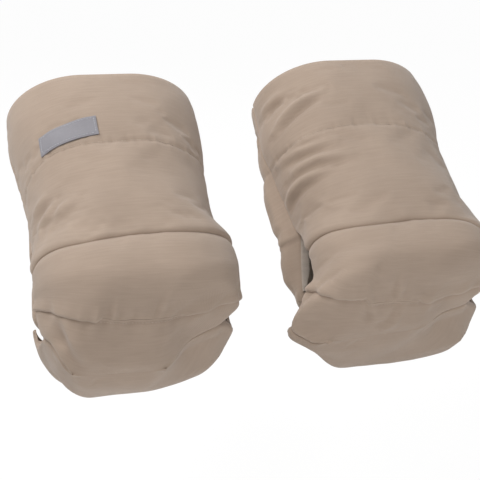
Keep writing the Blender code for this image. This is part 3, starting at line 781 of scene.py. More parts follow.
def waves(across, down, seed, length, height):
    """Soft unevenness: a few waves of about a length, in any direction."""
    rng = np.random.default_rng(seed)
    total = 0 * across
    for _ in range(WAVE_COUNT):
        turn, phase = rng.uniform(0, 2 * pi, 2)
        pitch = length * rng.uniform(*WAVE_SPREAD)
        total += np.sin(2 * pi / pitch * (across * cos(turn) + down * sin(turn)) + phase)
    return height * total / WAVE_COUNT**0.5


def puckers(across, off_line, seed, pitch, depth, reach):
    """Small gathers that run out from a stitched line, at distances off the line."""
    rng = np.random.default_rng(seed)
    total = 0 * across
    for size in PUCKER_SIZES:
        length = pitch * size * rng.uniform(*PUCKER_SPREAD)
        total += np.sin(2 * pi * across / length + rng.uniform(0, 6))
    return depth * total / 2 * np.exp(-((off_line / reach) ** 2))


def front_hem(across, muff):
    """How far down the stitching of the cuff's hem lies on the front."""
    return CUFF_FACING_LENGTH + MM * smooth(muff.hem_seam, across / MM)


def stitch_groove(off_line):
    return -GROOVE_DEPTH * np.exp(-((off_line / GROOVE_WIDTH) ** 2))


def fold_heights(across, down, fold):
    """The ridge of one fold, with a dip along its right-hand side."""
    line = np.array(fold.line) * MM
    width, height = fold.width * MM, fold.height * MM
    best = np.full(across.shape, np.inf)
    off, along = 0 * across, 0 * across
    lengths = lengths_along(line, 0)
    for (a, b), start in zip(zip(line, line[1:]), lengths):
        run = b - a
        length = np.hypot(*run)
        t = np.clip(((across - a[0]) * run[0] + (down - a[1]) * run[1]) / length**2, 0, 1)
        dx, dy = across - a[0] - t * run[0], down - a[1] - t * run[1]
        distance = np.hypot(dx, dy)
        side = np.where(run[0] * dy - run[1] * dx > 0, 1, -1)
        closer = distance < best
        best = np.where(closer, distance, best)
        off = np.where(closer, side * distance, off)
        along = np.where(closer, (start + t * length) / lengths[-1], along)
    taper = np.sin(pi * np.clip(along, FOLD_END, 1 - FOLD_END)) ** FOLD_TAPER
    ridge = np.exp(-((off / width) ** 2))
    dip = DIP_SHARE * np.exp(-(((off - DIP_PLACE * width) / width) ** 2))
    return height * taper * (ridge - dip)


def stitches(word, lines, muff, material):
    """Rows of stitches. Each line is its close points and their normals."""
    ring = np.linspace(0, 2 * pi, STITCH_SIDES, endpoint=False)
    swell = np.sqrt(1 - np.linspace(-STITCH_TIP, STITCH_TIP, STITCH_STEPS) ** 2)[:, None]
    spread = np.linspace(-0.5, 0.5, STITCH_STEPS) * STITCH_SHARE
    verts, faces = [], []
    for dense, normals in lines:
        length = lengths_along(dense, 0)
        for k in range(int(length[-1] / STITCH_PITCH)):
            ends = (k + 0.5 + spread) * STITCH_PITCH
            points = np.stack([np.interp(ends, length, dense[:, c]) for c in range(3)], 1)
            normal = unit(normals[np.searchsorted(length, ends.mean()) - 1])
            aside = np.cross(unit(points[-1] - points[0]), normal)
            section = (np.cos(ring)[:, None] * aside + np.sin(ring)[:, None] * normal) * STITCH_RADIUS
            start = len(verts) * STITCH_STEPS * STITCH_SIDES
            lifted = points + normal * STITCH_RADIUS * (swell - STITCH_SUNK)
            verts.append((lifted[:, None] + section * swell[..., None]).reshape(-1, 3))
            faces += tube_faces(STITCH_STEPS, STITCH_SIDES, True, start)
    return mesh_object(
        f"{muff.name}_{word}", world(np.concatenate(verts), muff), faces, material
    )


# A muff's cloth


def seams_drawn(points, muff):
    """The front's pattern with its rows drawn up or down to follow the two cross seams."""
    down = lengths_along(points[:, COLUMNS // 2], 0)
    above, between, below = (
        eased(share_between(down, down[first], down[last]))[:, None]
        for first, last in ((SLEEVE_ROWS - 1, UPPER_ROW), (UPPER_ROW, LOWER_ROW), (LOWER_ROW, -1))
    )
    across = lengths_along(points, 1) - lengths_along(points, 1)[:, -1:] / 2
    upper, lower = (
        MM * smooth(table, across / MM) for table in (muff.upper_seam, muff.lower_seam)
    )
    drawn = upper * (above - between) + lower * (between - below)
    return down_columns(points, np.interp(down[:, None] + drawn, down, np.arange(len(down))))


def pattern_of(cut, muff):
    """A cut's surface on this muff. The back's hem lies inset, under the flap's hem."""
    points = surface(cut)
    if cut is FRONT:
        points = seams_drawn(points, muff)
    if cut is BACK:
        inset = APRON_INSET * share_between(-cut.stations, -WAIST, -APRON_TOP)
        points = points - normals_of(points, cut.side) * inset[:, None, None]
    return warped(points, muff)


def row_at(grid, distance):
    return int(np.abs(lengths_along(grid[:, COLUMNS // 2], 0) - distance).argmin())


def body_job(front, back):
    """The cloth of a muff's front and back, joined at the side seams."""
    count = front.shape[0] * COLUMNS
    front_index = np.arange(count).reshape(-1, COLUMNS)
    back_index = count + np.arange(back.shape[0] * COLUMNS).reshape(-1, COLUMNS)
    back_index[:SLEEVE_ROWS, (0, -1)] = front_index[:SLEEVE_ROWS, (0, -1)]
    front_pins, back_pins = np.zeros(front.shape[:2], bool), np.zeros(back.shape[:2], bool)
    for pins, grid in ((front_pins, front), (back_pins, back)):
        pins[:PINNED_RIM_ROWS] = pins[row_at(grid, CUFF_FACING_LENGTH)] = pins[:, (0, -1)] = True
    front_pins[[UPPER_ROW, LOWER_ROW, -1]] = True
    back_pins[BACK.stations < WAIST + STATION_MARGIN] = True
    faces = [quads(*front.shape[:2], False), back_index.ravel()[quads(*back.shape[:2], True)]]
    return (
        np.concatenate([front.reshape(-1, 3), back.reshape(-1, 3)]), np.concatenate(faces),
        np.concatenate([front_pins.ravel(), back_pins.ravel()]),
    )


def flap_job(flap):
    pins = np.zeros(flap.shape[:2], bool)
    pins[FLAP.stations > PAD_TOP - STATION_MARGIN] = pins[-1] = pins[:, (0, -1)] = True
    return flap.reshape(-1, 3), quads(*flap.shape[:2], True), pins.ravel()


def side_rolls(patch, muff, top_roll=SIDE_SEAM_ROLL, top=SLOT_RISE):
    """The radii of a patch's rolled side edges: beside the toe, along the slot and at its top."""
    keys = [*(change - SLOT_DROP for change in FOOT_CHANGE), *(change + top for change in TOP_CHANGE)]
    left, right = (
        np.interp(patch.base[:, :1, 2], keys, (roll * MM, SLOT_ROLL, SLOT_ROLL, top_roll))
        for roll in muff.parting_rolls
    )
    return np.where(patch.across < 0, left, right)


def rim_rolled(patch, inner):
    """The outer and inner rows of a patch, with its top rolled over the rim."""
    up = unit(patch.base[0] - patch.base[1])
    turns = np.linspace(RIM_TURN, 0, RIM_STEPS, endpoint=False)[:, None, None]
    centre = patch.outer[0] - patch.normals[0] * RIM_ROLL
    rolled = centre + RIM_ROLL * (patch.normals[0] * np.cos(turns) + up * np.sin(turns))
    under = inner[0] + up * RIM_ROLL * UNDER_RIM_SHARE * turns / RIM_TURN
    return np.concatenate([rolled, patch.outer]), np.concatenate([under, inner])


def weave_map(patch, rows):
    """Texture places, in units of the weave's length, for a patch with rows added at its top."""
    extra = rows - len(patch.distances)
    across = np.concatenate([patch.across[:1]] * extra + [patch.across])
    spaces = (np.arange(extra, 0, -1) * RIM_ROLL * RIM_TURN / RIM_STEPS)[:, None]
    down = np.concatenate([patch.down[:1] - spaces, patch.down])
    return np.stack([across, down], -1) / WEAVE_UNIT


def loose(patch, muff, folds):
    """The cloth's own unevenness and its folds, fading out towards the patch's side edges."""
    places = patch.across, patch.down
    layers = [waves(*places, muff.seed + k, *wave) for k, wave in enumerate(SHELL_WAVES)]
    layers += [fold_heights(*places, fold) for fold in folds]
    return sum(layers) * eased(patch.from_side / SIDE_FADE)


def overhang(patch, muff):
    """1 where the knuckle hangs over the toe and 0 where it is stitched flat, and the seam's roll."""
    across = patch.girths.mean() * (patch.shares - 0.5)
    left, right = np.array(muff.flat_seam) * MM
    over = eased((left - across) / FLAT_SLOPES[0]) + eased((across - right) / FLAT_SLOPES[1])
    return over, FLAT_SEAM_ROLL + (SEAM_ROLL - FLAT_SEAM_ROLL) * over


def hem_stitched(patch, off_hem, seed):
    """The gathers and the groove along the stitched hem of the cuff's facing."""
    return puckers(patch.across, off_hem, seed, *HEM_PUCKERS) + stitch_groove(off_hem)


def shaped_sleeve(front, muff):
    patch = Patch(front, RIM_ROLL, front.down[UPPER_ROW], 0, SEAM_ROLL)
    near_foot = near(patch.from_foot, SLEEVE_OVERHANG.reach)
    patch.slide(SLEEVE_OVERHANG.slide * near_foot)
    heights = loose(patch, muff, muff.front_folds) * eased(patch.from_top / RIM_FADE)
    heights += hem_stitched(patch, patch.down - front_hem(patch.across, muff), muff.seed + 2)
    heights += SLEEVE_OVERHANG.lift * near_foot
    return patch.shape(heights, side_rolls(patch, muff), 0, SEAM_ROLL)


def shaped_knuckle(front, muff):
    patch = Patch(front, front.down[UPPER_ROW], front.down[LOWER_ROW], SEAM_ROLL, SEAM_ROLL)
    over, foot_roll = overhang(patch, muff)
    near_foot = near(patch.from_foot, KNUCKLE_OVERHANG.reach) * over
    patch.slide(KNUCKLE_OVERHANG.slide * near_foot)
    heights = loose(patch, muff, muff.front_folds)
    heights += puckers(patch.across, patch.from_foot, muff.seed + 3, *KNUCKLE_PUCKERS)
    heights += KNUCKLE_OVERHANG.lift * near_foot - KNUCKLE_DIP * near(patch.from_top, DIP_REACH)
    return patch.shape(heights, side_rolls(patch, muff), SEAM_ROLL, foot_roll)


def shaped_toe(front, muff):
    patch = Patch(front, front.down[LOWER_ROW], front.down[-1], SEAM_ROLL, FOLD_ROLL)
    over, top_roll = overhang(patch, muff)
    heights = loose(patch, muff, muff.front_folds) * eased(patch.from_foot / TOE_FADE)
    heights += puckers(patch.across, patch.from_top, muff.seed + 3, *TOE_PUCKERS)
    heights += stitch_groove(patch.from_top - TOPSTITCH_INSET) * (1 - over)
    heights -= TOE_DIP * near(patch.from_top, DIP_REACH) * over
    return patch.shape(heights, side_rolls(patch, muff), top_roll, FOLD_ROLL)


def shaped_back(back, muff):
    patch = Patch(back, RIM_ROLL, back.down[-1], 0, HEM_ROLL)
    _, waist = back.hem
    above_hem = eased((waist - ABOVE_APRON - patch.down) / HEM_FADE)
    heights = loose(patch, muff, muff.back_folds) * eased(patch.from_top / RIM_FADE) * above_hem
    heights += hem_stitched(patch, patch.down - CUFF_FACING_LENGTH, muff.seed + 4)
    return patch.shape(heights, side_rolls(patch, muff), 0, HEM_ROLL)


def shaped_flap(flap, muff):
    patch = Patch(flap, 0, flap.down[-1], HEM_ROLL, FOLD_ROLL)
    _, pad_top = flap.hem
    below_hem = eased((patch.down - pad_top - BELOW_FLAP_HEM) / HEM_FADE)
    heights = loose(patch, muff, ()) * below_hem * eased(patch.from_foot / FLAP_FADE)
    sides = side_rolls(patch, muff, HEM_ROLL, FLAP_HEM_EDGE - HEM_TAPER)
    return patch.shape(heights, sides, HEM_ROLL, FOLD_ROLL)


# Materials


def add_node(tree, kind, links, **settings):
    """A shader node. links gives each input's value, or the socket that feeds it."""
    node = tree.nodes.new("ShaderNode" + kind)
    for key, value in settings.items():
        setattr(node, key, value)
    for key, value in links.items():
        if isinstance(value, bpy.types.NodeSocket):
            tree.links.new(value, node.inputs[key])
        else:
            node.inputs[key].default_value = value
    return node


def ramp(tree, factor, low, high, start=0.3, end=0.7):
    """A ramp between two colours or greys."""
    node = add_node(tree, "ValToRGB", {"Fac": factor})
    for element, position, colour in zip(node.color_ramp.elements, (start, end), (low, high)):
        element.position = position
        element.color = (colour,) * 3 + (1,) if isinstance(colour, float) else (*colour, 1)
    return node.outputs["Color"]


def new_material(name, **inputs):
    """A material with its shader's own values set. Its node tree and its places come with it."""
    material = bpy.data.materials.new(name)
    material.use_nodes = True
    tree = material.node_tree
    shader = tree.nodes["Principled BSDF"]
    for key, value in inputs.items():
        shader.inputs[key.replace("_", " ")].default_value = value
    places = tree.nodes.new("ShaderNodeTexCoord").outputs
    return material, tree, places


def noise(tree, places, scale, detail=3.0, stretch=(1, 1, 1), roughness=0.55):
    mapping = add_node(tree, "Mapping", {"Vector": places, "Scale": stretch})
    found = add_node(tree, "TexNoise", {
        "Vector": mapping.outputs[0], "Scale": scale, "Detail": detail, "Roughness": roughness,
    })
    return found.outputs["Fac"]


def ribs(tree, places, pitch, distortion, turn=0, bands="Y", detail=2, detail_scale=1):
    """Even ribs of a pitch, as heights."""
    mapping = add_node(tree, "Mapping", {"Vector": places, "Rotation": (0, 0, turn)})
    wave = add_node(tree, "TexWave", {
        "Vector": mapping.outputs[0], "Scale": WEAVE_UNIT / pitch / WAVE_PERIODS,
        "Distortion": distortion, "Detail": detail, "Detail Scale": detail_scale,
    }, bands_direction=bands)
    return wave.outputs["Fac"]


def blended(tree, a, b, factor=1.0, kind="MULTIPLY"):
    mix = add_node(tree, "Mix", {0: factor, 6: a, 7: b}, data_type="RGBA", blend_type=kind)
    return mix.outputs[2]


def finished(material, colour, roughness, *layers):
    """Feeds a material's colour, roughness and (height, distance, strength) bumps, coarse first."""
    tree = material.node_tree
    shader = tree.nodes["Principled BSDF"]
    tree.links.new(colour, shader.inputs["Base Color"])
    tree.links.new(roughness, shader.inputs["Roughness"])
    normal = {}
    for height, distance, strength in layers:
        bump = add_node(
            tree, "Bump", {"Height": height, "Distance": distance, "Strength": strength, **normal}
        )
        normal = {"Normal": bump.outputs[0]}
    tree.links.new(normal["Normal"], shader.inputs["Normal"])
    return material


def shell_material():
    """Brushed twill: beige, matt, with slubs along the weft and a paler colour mixed in on its convex
    edges.
    """
    material, tree, places = new_material(
        "shell_twill", Sheen_Weight=0.25, Sheen_Roughness=0.45, Specular_IOR_Level=0.25,
    )
    cloud = noise(tree, places["Object"], 16.0)
    slub = noise(tree, places["UV"], 10.0, stretch=(0.4, 6, 1))
    fleck = noise(tree, places["UV"], 260.0, 2.0)
    base = ramp(tree, cloud, SHELL_DARK, SHELL_LIGHT, 0.3, 0.72)
    streaked = blended(tree, base, ramp(tree, slub, 0.9, 1.0))
    colour = blended(tree, streaked, ramp(tree, fleck, 0.88, 1.0))
    # A paler colour is mixed in where the surface is convex, as on its rolled edges.
    convexity = add_node(tree, "NewGeometry", {}).outputs["Pointiness"]
    paler_edges = ramp(tree, convexity, 0.0, 0.35, 0.47, 0.56)
    threads = [
        ribs(tree, places["UV"], 0.9 * MM, 0.6, turn, "X", 1, 2) for turn in (TWILL, TWILL + pi / 2)
    ]
    twill = add_node(tree, "Math", dict(enumerate(threads)), operation="MULTIPLY").outputs[0]
    return finished(
        material, blended(tree, colour, (*SHELL_EDGE_PALE, 1), paler_edges, "MIX"),
        ramp(tree, fleck, 0.78, 0.94, 0.2, 0.8),
        (slub, 0.4 * MM, 0.12), (fleck, 0.25 * MM, 0.4), (twill, 0.3 * MM, 0.5),
    )


def fleece_material():
    material, tree, places = new_material(
        "fleece", Sheen_Weight=0.6, Sheen_Roughness=0.6, Specular_IOR_Level=0.1,
    )
    tuft = noise(tree, places["Object"], 330.0, 4.0, roughness=0.7)
    patchy = noise(tree, places["Object"], 45.0)
    shade = ramp(tree, tuft, FLEECE_DARK, FLEECE_LIGHT)
    return finished(
        material, blended(tree, shade, ramp(tree, patchy, 0.85, 1.0, 0.35, 0.65)),
        ramp(tree, patchy, 0.9, 1.0), (patchy, 2 * MM, 0.5), (tuft, 1.2 * MM, 0.8),
    )


def tape_material():
    """Binding tape: fine ribs across its length, with uneven dye."""
    material, tree, places = new_material("slot_tape", Sheen_Weight=0.2)
    rib = ribs(tree, places["UV"], 1.1 * MM, 1.5)
    dye = noise(tree, places["Object"], 90.0)
    shade = ramp(tree, rib, (0.36, 0.29, 0.24), (0.62, 0.55, 0.48), 0.1, 0.8)
    return finished(
        material, blended(tree, shade, ramp(tree, dye, 0.8, 1.0)), ramp(tree, dye, 0.7, 0.9),
        (dye, 0.5 * MM, 0.4), (rib, 0.4 * MM, 0.8),
    )


def label_material():
    """A woven satin patch: bare, with fine weft lines."""
    material, tree, places = new_material("woven_label", Sheen_Weight=0.3, Specular_IOR_Level=0.4)
    weft = ribs(tree, places["UV"], 0.7 * MM, 0.5)
    dye = noise(tree, places["UV"], 45.0, stretch=(1, 4, 1))
    shade = ramp(tree, weft, LABEL_DARK, LABEL_LIGHT, 0.1, 0.9)
    return finished(
        material, blended(tree, shade, ramp(tree, dye, 0.86, 1.0)), ramp(tree, dye, 0.45, 0.65),
        (dye, 0.3 * MM, 0.3), (weft, 0.2 * MM, 0.5),
    )


def thread_material(name, dark, light):
    material, tree, places = new_material(name, Sheen_Weight=0.2)
    twist = noise(tree, places["Object"], 900.0, 2.0)
    return finished(
        material, ramp(tree, twist, dark, light), ramp(tree, twist, 0.5, 0.75), (twist, 0.15 * MM, 0.6)
    )


def snap_material(name, dark, light, metallic, roughness):
    """Pressed metal, plain or lacquered, with faint scratches and a duller bloom."""
    material, tree, places = new_material(name, Metallic=metallic)
    bloom = noise(tree, places["Object"], 240.0)
    scratch = noise(tree, places["Object"], 700.0, 2.0, stretch=(1, 9, 1))
    shade = ramp(tree, bloom, dark, light)
    return finished(
        material, blended(tree, shade, ramp(tree, scratch, 0.85, 1.0, 0.35, 0.5)),
        ramp(tree, bloom, roughness - 0.08, roughness + 0.12),
        (bloom, 0.2 * MM, 0.2), (scratch, 0.05 * MM, 0.3),
    )


SHELL = shell_material()
FLEECE = fleece_material()
TAPE = tape_material()
LABEL = label_material()
THREAD = thread_material("thread", (0.36, 0.28, 0.22), (0.52, 0.42, 0.34))
PALE_THREAD = thread_material("label_thread", (0.34, 0.34, 0.37), (0.5, 0.5, 0.54))
CAP_PAINT = snap_material("cap_lacquer", (0.30, 0.24, 0.19), (0.40, 0.32, 0.26), 0.0, 0.34)
NICKEL = snap_material("nickel", (0.55, 0.54, 0.52), (0.72, 0.71, 0.69), 1.0, 0.3)


# The pieces of a muff


def sheet(word, patch, outer, inner, muff, material):
    """A closed sheet from a patch's outer and inner rows."""
    places = weave_map(patch, len(outer))
    return closed_sheet(word, muff, outer, inner, patch.surface.side, material, places)


def take_place(muff, nodes):
    if nodes:
        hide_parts(*(f"{muff.name}_{node}" for node in nodes))


def fit(obj, muff, slot, *nodes, body="muff"):
    """Puts a piece on a body of its muff, in place of some of the muff's nodes."""
    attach(obj, f"{muff.name}_{body}")
    take_place(muff, nodes)


def bend(obj, muff, flap, slot, *nodes):
    """Hides the nodes that a piece takes the place of, and bakes the piece's transform into its mesh.
    """
    take_place(muff, nodes)
    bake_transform(obj)


def finish_pad(obj, muff, flap, slot, *nodes):
    """Puts a padded piece on its muff, or where a flap is given, leaves it in place with its transform
    baked in.
    """
    if flap:
        bend(obj, muff, flap, slot, *nodes)
    else:
        fit(obj, muff, slot, *nodes)


def add_pads(muff, front, back, flap):
    """The five padded panels. They are returned for the trimmings that sit on them."""
    patches = {}
    for word, patch, nodes in (
        ("sleeve", shaped_sleeve(front, muff), ("sleeve_panel", "front_wadding")),
        ("knuckle", shaped_knuckle(front, muff), ("knuckle_panel",)),
        ("toe", shaped_toe(front, muff), ("toe_panel",)),
        ("back", shaped_back(back, muff), ("back_panel", "back_wadding")),
        ("flap_cover", shaped_flap(flap, muff), ("flap_shell", "flap_wadding")),
    ):
        patches[word] = patch
        outer, inner = patch.outer, patch.inner(patch.under_wadding(SHELL_THICKNESS))
        if word in ("sleeve", "back"):
            outer, inner = rim_rolled(patch, inner)
        obj = sheet(word, patch, outer, inner, muff, SHELL)
        finish_pad(obj, muff, flap if word == "flap_cover" else None, "shell", *nodes)
    return patches


def add_cuff(muff, front, back):
    """The facing inside the cuff: a ring, from under the rolled rim to its stitched hem."""
    walls = []
    for source in (front, back):
        patch = Patch(source, RIM_ROLL, CUFF_FACING_LENGTH)
        up, normal = unit(patch.base[0] - patch.base[1]), patch.normals[0]
        turns = np.linspace(CUFF_TURN, pi, RIM_STEPS)[:-1, None, None]
        centre = patch.base[0] - normal * RIM_ROLL
        wall = 2 * RIM_ROLL + waves(patch.across, patch.down, muff.seed + 7, *CUFF_WAVES)
        walls.append([
            np.concatenate([
                centre + (RIM_ROLL - inset) * (normal * np.cos(turns) + up * np.sin(turns)),
                patch.inner(wall - inset),
            ])
            for inset in (FACING_THICKNESS, 0)
        ])
        if source is front:
            places = weave_map(patch, len(walls[0][0]))
    rings = []
    for ahead, behind in zip(*walls):
        ends = (ahead[:, (0, -1)] + behind[:, (0, -1)]) / 2
        ring = [ends[:, :1], ahead[:, 1:-1], ends[:, 1:], behind[:, -2:0:-1]]
        rings.append(np.concatenate(ring, 1))
    places = np.concatenate([places, places[:, -2:0:-1] + (places[:, -1:] - places[:, :1])], 1)
    obj = closed_sheet("cuff", muff, *rings, 1, SHELL, places, True)
    fit(obj, muff, "facing", "cuff_facing")


def add_linings(muff, front, back, flap):
    """The fleece, and the facings behind the two hems."""
    (_, waist), (_, pad_top) = back.hem, flap.hem
    cuff_end = CUFF_FACING_LENGTH + SEAM_GAP / 2
    for word, source, first, last in (
        ("front", front, cuff_end, front.down[-1] - FLEECE_INSET),
        ("back", back, cuff_end, waist - SEAM_GAP / 2),
        ("flap", flap, pad_top + SEAM_GAP / 2, flap.down[-1] - FLEECE_INSET),
    ):
        patch = Patch(source, first, last)
        depth = patch.wadding_foot + LAYER_GAP
        pile = LINING_THICKNESS + waves(patch.across, patch.down, muff.seed + 9, *LINING_WAVES)
        obj = sheet(
            f"{word}_fleece", patch, patch.inner(depth), patch.inner(depth + pile), muff, FLEECE
        )
        finish_pad(obj, muff, flap if word == "flap" else None, "lining", f"{word}_lining")
    for word, body, source, first, last in (
        ("back", "muff", back, waist + SEAM_GAP / 2, back.down[-1]),
        ("flap", "flap", flap, 0, pad_top - HEM_SEAM_GAP),
    ):
        patch = Patch(source, first, last)
        depth = patch.under_wadding(gap=LAYER_GAP)
        obj = sheet(
            f"{word}_facing", patch, patch.inner(depth), patch.inner(depth + FACING_THICKNESS), muff,
            SHELL,
        )
        fit(obj, muff, "facing", f"{word}_hem_facing", body=body)


def add_binding(muff, front, back, end):
    """The tape over one slot's cut edge: up its front, over its top and down to the back's hem."""
    word, column_index = ("right", -1) if end > 0 else ("left", 0)
    runs = []
    for source, cut, low in ((front, FRONT, -1), (back, BACK, WAIST)):
        rows = np.flatnonzero((cut.stations <= 1) & (cut.stations >= low))
        runs.append((
            source.pattern[rows, column_index], source.normals[rows, column_index],
            WADDING_TOP + WADDING_THICKNESS * source.paddings[rows],
        ))
    points, normals, depths = (np.concatenate([a[::-1], b[1:]]) for a, b in zip(*runs))
    inward = unit(np.cross(unit(np.gradient(points, axis=0)), normals)) * end
    turns = np.linspace(0, 2 * pi, TAPE_SIDES, endpoint=False)
    foot = depths + LAYER_GAP + LINING_THICKNESS
    middle, half = ((foot + TAPE_TOP) / 2)[:, None, None], ((foot - TAPE_TOP) / 2)[:, None, None]
    bulge = (1 + np.sin(turns))[:, None] * TAPE_THICKNESS * TAPE_BULGE_SHARE
    grid = (
        points[:, None] - normals[:, None] * (middle + half * np.cos(turns)[:, None])
        + inward[:, None] * (bulge - TAPE_THICKNESS * TAPE_SUNK_SHARE)
    )
    around = np.broadcast_to(turns / (2 * pi) * 2 * (TAPE_TOP + RIM_ROLL), grid.shape[:2])
    down = np.broadcast_to(lengths_along(points, 0)[:, None], grid.shape[:2])
    obj = mesh_object(
        f"{muff.name}_slot_binding_{word}", world(grid, muff).reshape(-1, 3),
        tube_faces(len(grid), TAPE_SIDES, end > 0), TAPE,
        np.stack([around, down], -1).reshape(-1, 2) / WEAVE_UNIT,
    )
    fit(obj, muff, "tape", f"slot_tape_{word}")


def add_label(muff, sleeve):
    """A bare woven patch, stitched along its border.

    It is too stiff for the cloth's small folds, so it follows the cloth only at a few places."""
    across, down = np.meshgrid(
        np.linspace(-0.5, 0.5, LABEL_COLUMNS) * LABEL_LENGTH,
        np.linspace(-0.5, 0.5, LABEL_ROWS) * LABEL_HEIGHT,
    )
    edge = np.minimum(LABEL_LENGTH / 2 - np.abs(across), LABEL_HEIGHT / 2 - np.abs(down))[..., None]
    row_step = (LABEL_ROWS - 1) // LABEL_ROW_SPANS
    column_step = (LABEL_COLUMNS - 1) // LABEL_COLUMN_SPANS
    coarse_across, coarse_down = (grid[::row_step, ::column_step] for grid in (across, down))
    points, normals = sleeve.at(
        LABEL_ACROSS + coarse_across, LABEL_DOWN + coarse_down - LABEL_TILT * coarse_across
    )
    rows = np.linspace(0, LABEL_ROW_SPANS, LABEL_ROWS)
    columns = np.linspace(0, LABEL_COLUMN_SPANS, LABEL_COLUMNS)
    points, normals = sampled(points, rows, columns), unit(sampled(unit(normals), rows, columns))
    thickness = LABEL_EDGE_SHARE + (1 - LABEL_EDGE_SHARE) * eased(edge / LABEL_EDGE)
    groove = np.exp(-(((edge - LABEL_SEAM_INSET) / LABEL_GROOVE_WIDTH) ** 2))
    raised = LABEL_LIFT + LABEL_THICKNESS * thickness - LABEL_GROOVE_DEPTH * groove
    outer = points + normals * raised
    obj = closed_sheet(
        "woven_label", muff, outer, points + normals * LABEL_LIFT / 2, 1, LABEL,
        np.stack([across, down], -1) / WEAVE_UNIT,
    )
    fit(obj, muff, "label", "label")
    near_edge = round(LABEL_SEAM_INSET / MM)
    inside = slice(near_edge, -near_edge)
    borders = [(i, inside) for i in (near_edge, -1 - near_edge)]
    borders += [(inside, j) for j in (near_edge, -1 - near_edge)]
    rows = [(outer[border], normals[border]) for border in borders]
    fit(stitches("label_stitching", rows, muff, PALE_THREAD), muff, "label")


def add_stitching(muff, sleeve, toe, cover, flap_cover):
    def row(patch, start, end, down):
        """Close points along a row. Its place down is a distance, or a function of across."""
        across = np.linspace(start, end, STITCH_SAMPLES)
        return patch.at(across, down(across) if callable(down) else down + 0 * across)

    def wide_row(patch, down):
        return row(patch, -HEM_FLAT, HEM_FLAT, down)

    front_reach, back_reach = (
        np.interp(CUFF_FACING_LENGTH, patch.distances, patch.girths) / 2 - STITCH_END
        for patch in (sleeve, cover)
    )
    flap_hem = FLAP_HEM_TOP - FLAP_HEM_FOOT
    body_rows = [
        row(sleeve, -front_reach, front_reach, lambda across: front_hem(across, muff)),
        row(cover, -back_reach, back_reach, CUFF_FACING_LENGTH),
        wide_row(cover, cover.distances[-1] - TOPSTITCH_INSET),
        row(toe, *np.array(muff.flat_seam) * MM, toe.distances[0] + TOPSTITCH_INSET),
    ]
    hem_rows = [wide_row(flap_cover, d) for d in (TOPSTITCH_INSET, flap_hem - TOPSTITCH_INSET)]
    fit(stitches("stitching", body_rows, muff, THREAD), muff, "shell")
    fit(stitches("flap_stitching", hem_rows, muff, THREAD), muff, "shell", body="flap")


def finish_snaps():
    for name, node in frame["nodes"].items():
        if "_snap_" in name:
            for slot in node.material_slots:
                slot.link = "OBJECT"
                slot.material = CAP_PAINT if "_cap_" in name else NICKEL


# Stage


def seen(tree):
    """1 for rays from the camera and from glossy surfaces."""
    path = add_node(tree, "LightPath", {}).outputs
    rays = {0: path["Is Camera Ray"], 1: path["Is Glossy Ray"]}
    return add_node(tree, "Math", rays, operation="MAXIMUM").outputs[0]


def add_stage():
    """A pale floor and a white surround that show white, with the object's shadow on the floor."""
    bpy.ops.mesh.primitive_plane_add(size=FLOOR_SIZE, location=FLOOR_PLACE)
    floor = bpy.context.object
    floor.name = "floor"
    material, tree, _ = new_material("floor_paper", Base_Color=(0.9, 0.9, 0.9, 1), Roughness=1)
    passed = add_node(tree, "LightPath", {}).outputs["Is Transmission Ray"]
    shown = add_node(tree, "Math", {0: seen(tree), 1: passed}, operation="MAXIMUM").outputs[0]
    share = add_node(tree, "Math", {0: shown, 1: FLOOR_GLOW_SHARE}, operation="MULTIPLY").outputs[0]
    glow = add_node(tree, "Emission", {"Color": (1, 1, 1, 1), "Strength": FLOOR_GLOW})
    paper = tree.nodes["Principled BSDF"].outputs[0]
    mix = add_node(tree, "MixShader", {0: share, 1: paper, 2: glow.outputs[0]})
    tree.links.new(mix.outputs[0], tree.nodes["Material Output"].inputs["Surface"])
    floor.data.materials.append(material)

    surround = bpy.data.worlds.new("surround")
    bpy.context.scene.world = surround
    surround.use_nodes = True
    tree = surround.node_tree
    background = tree.nodes["Background"]
    strength = add_node(tree, "MapRange", {0: seen(tree), 3: SURROUND_LIGHT, 4: 1.0}).outputs[0]
    background.inputs["Color"].default_value = (1, 1, 1, 1)
    tree.links.new(strength, background.inputs["Strength"])


def add_lamp(name, place, size, power):
    lamp = bpy.data.lights.new(name, "AREA")
    lamp.shape, lamp.size, lamp.energy = "DISK", size, power
    obj = bpy.data.objects.new(name, lamp)
    obj.location = place
    obj.rotation_euler = (Vector(LIT_PLACE) - Vector(place)).to_track_quat("-Z", "Y").to_euler()
    bpy.context.scene.collection.objects.link(obj)


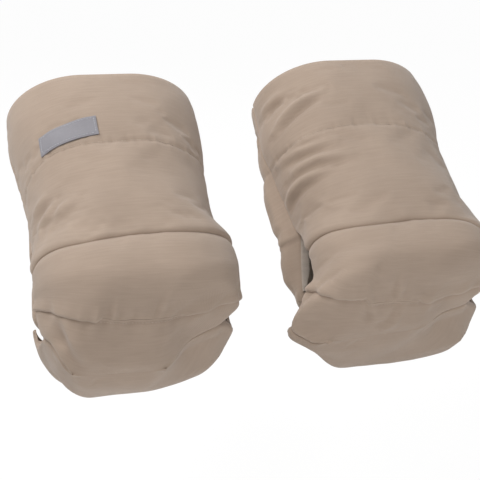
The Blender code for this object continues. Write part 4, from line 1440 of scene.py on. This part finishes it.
def add_camera():
    """The photograph's view: the bar's middle lies at ORIGIN_PIXEL, a known distance away."""
    a, e, roll = CAMERA_AZIMUTH, CAMERA_ELEVATION, CAMERA_ROLL
    back = Vector((sin(a) * cos(e), -cos(a) * cos(e), sin(e)))
    level = Vector((cos(a), sin(a), 0))
    upright = back.cross(level)
    right = level * cos(roll) + upright * sin(roll)
    up = upright * cos(roll) - level * sin(roll)
    x, y = ((pixel - IMAGE_SIZE / 2) / FOCAL_PIXELS * CAMERA_DISTANCE for pixel in ORIGIN_PIXEL)
    camera = bpy.data.cameras.new("camera")
    camera.sensor_width = SENSOR_WIDTH
    camera.lens = FOCAL_PIXELS / IMAGE_SIZE * SENSOR_WIDTH
    obj = bpy.data.objects.new("camera", camera)
    obj.matrix_world = Matrix((right, up, back)).transposed().to_4x4()
    obj.location = back * CAMERA_DISTANCE - right * x + up * y
    bpy.context.scene.collection.objects.link(obj)
    bpy.context.scene.camera = obj


# Building


def add_muff(muff, grids, body_cloth, flap_cloth):
    """All of one muff, from its patterns and the vertices of its pressed-out cloth."""
    front_cloth, back_cloth = np.split(body_cloth, [grids[0].size // 3])
    back_cloth = back_cloth.reshape(grids[1].shape)
    back_cloth[:SLEEVE_ROWS, (0, -1)] = grids[1][:SLEEVE_ROWS, (0, -1)]
    cloths = front_cloth, back_cloth, flap_cloth
    front, back, flap = map(Surface, (FRONT, BACK, FLAP), grids, cloths)
    pads = add_pads(muff, front, back, flap)
    add_cuff(muff, front, back)
    add_linings(muff, front, back, flap)
    for end in (-1, 1):
        add_binding(muff, front, back, end)
    add_stitching(muff, pads["sleeve"], pads["toe"], pads["back"], pads["flap_cover"])
    if f"{muff.name}_label" in frame["nodes"]:
        add_label(muff, pads["sleeve"])


patterns = [[pattern_of(cut, muff) for cut in (FRONT, BACK, FLAP)] for muff in MUFFS]
jobs = [job for front, back, flap in patterns for job in (body_job(front, back), flap_job(flap))]
pressed = pressed_out(jobs)
for muff, grids, body_cloth, flap_cloth in zip(MUFFS, patterns, pressed[::2], pressed[1::2]):
    add_muff(muff, grids, body_cloth, flap_cloth)
finish_snaps()

add_stage()
for lamp in LAMPS:
    add_lamp(*lamp)
add_camera()
bpy.context.scene.view_settings.view_transform = "Standard"
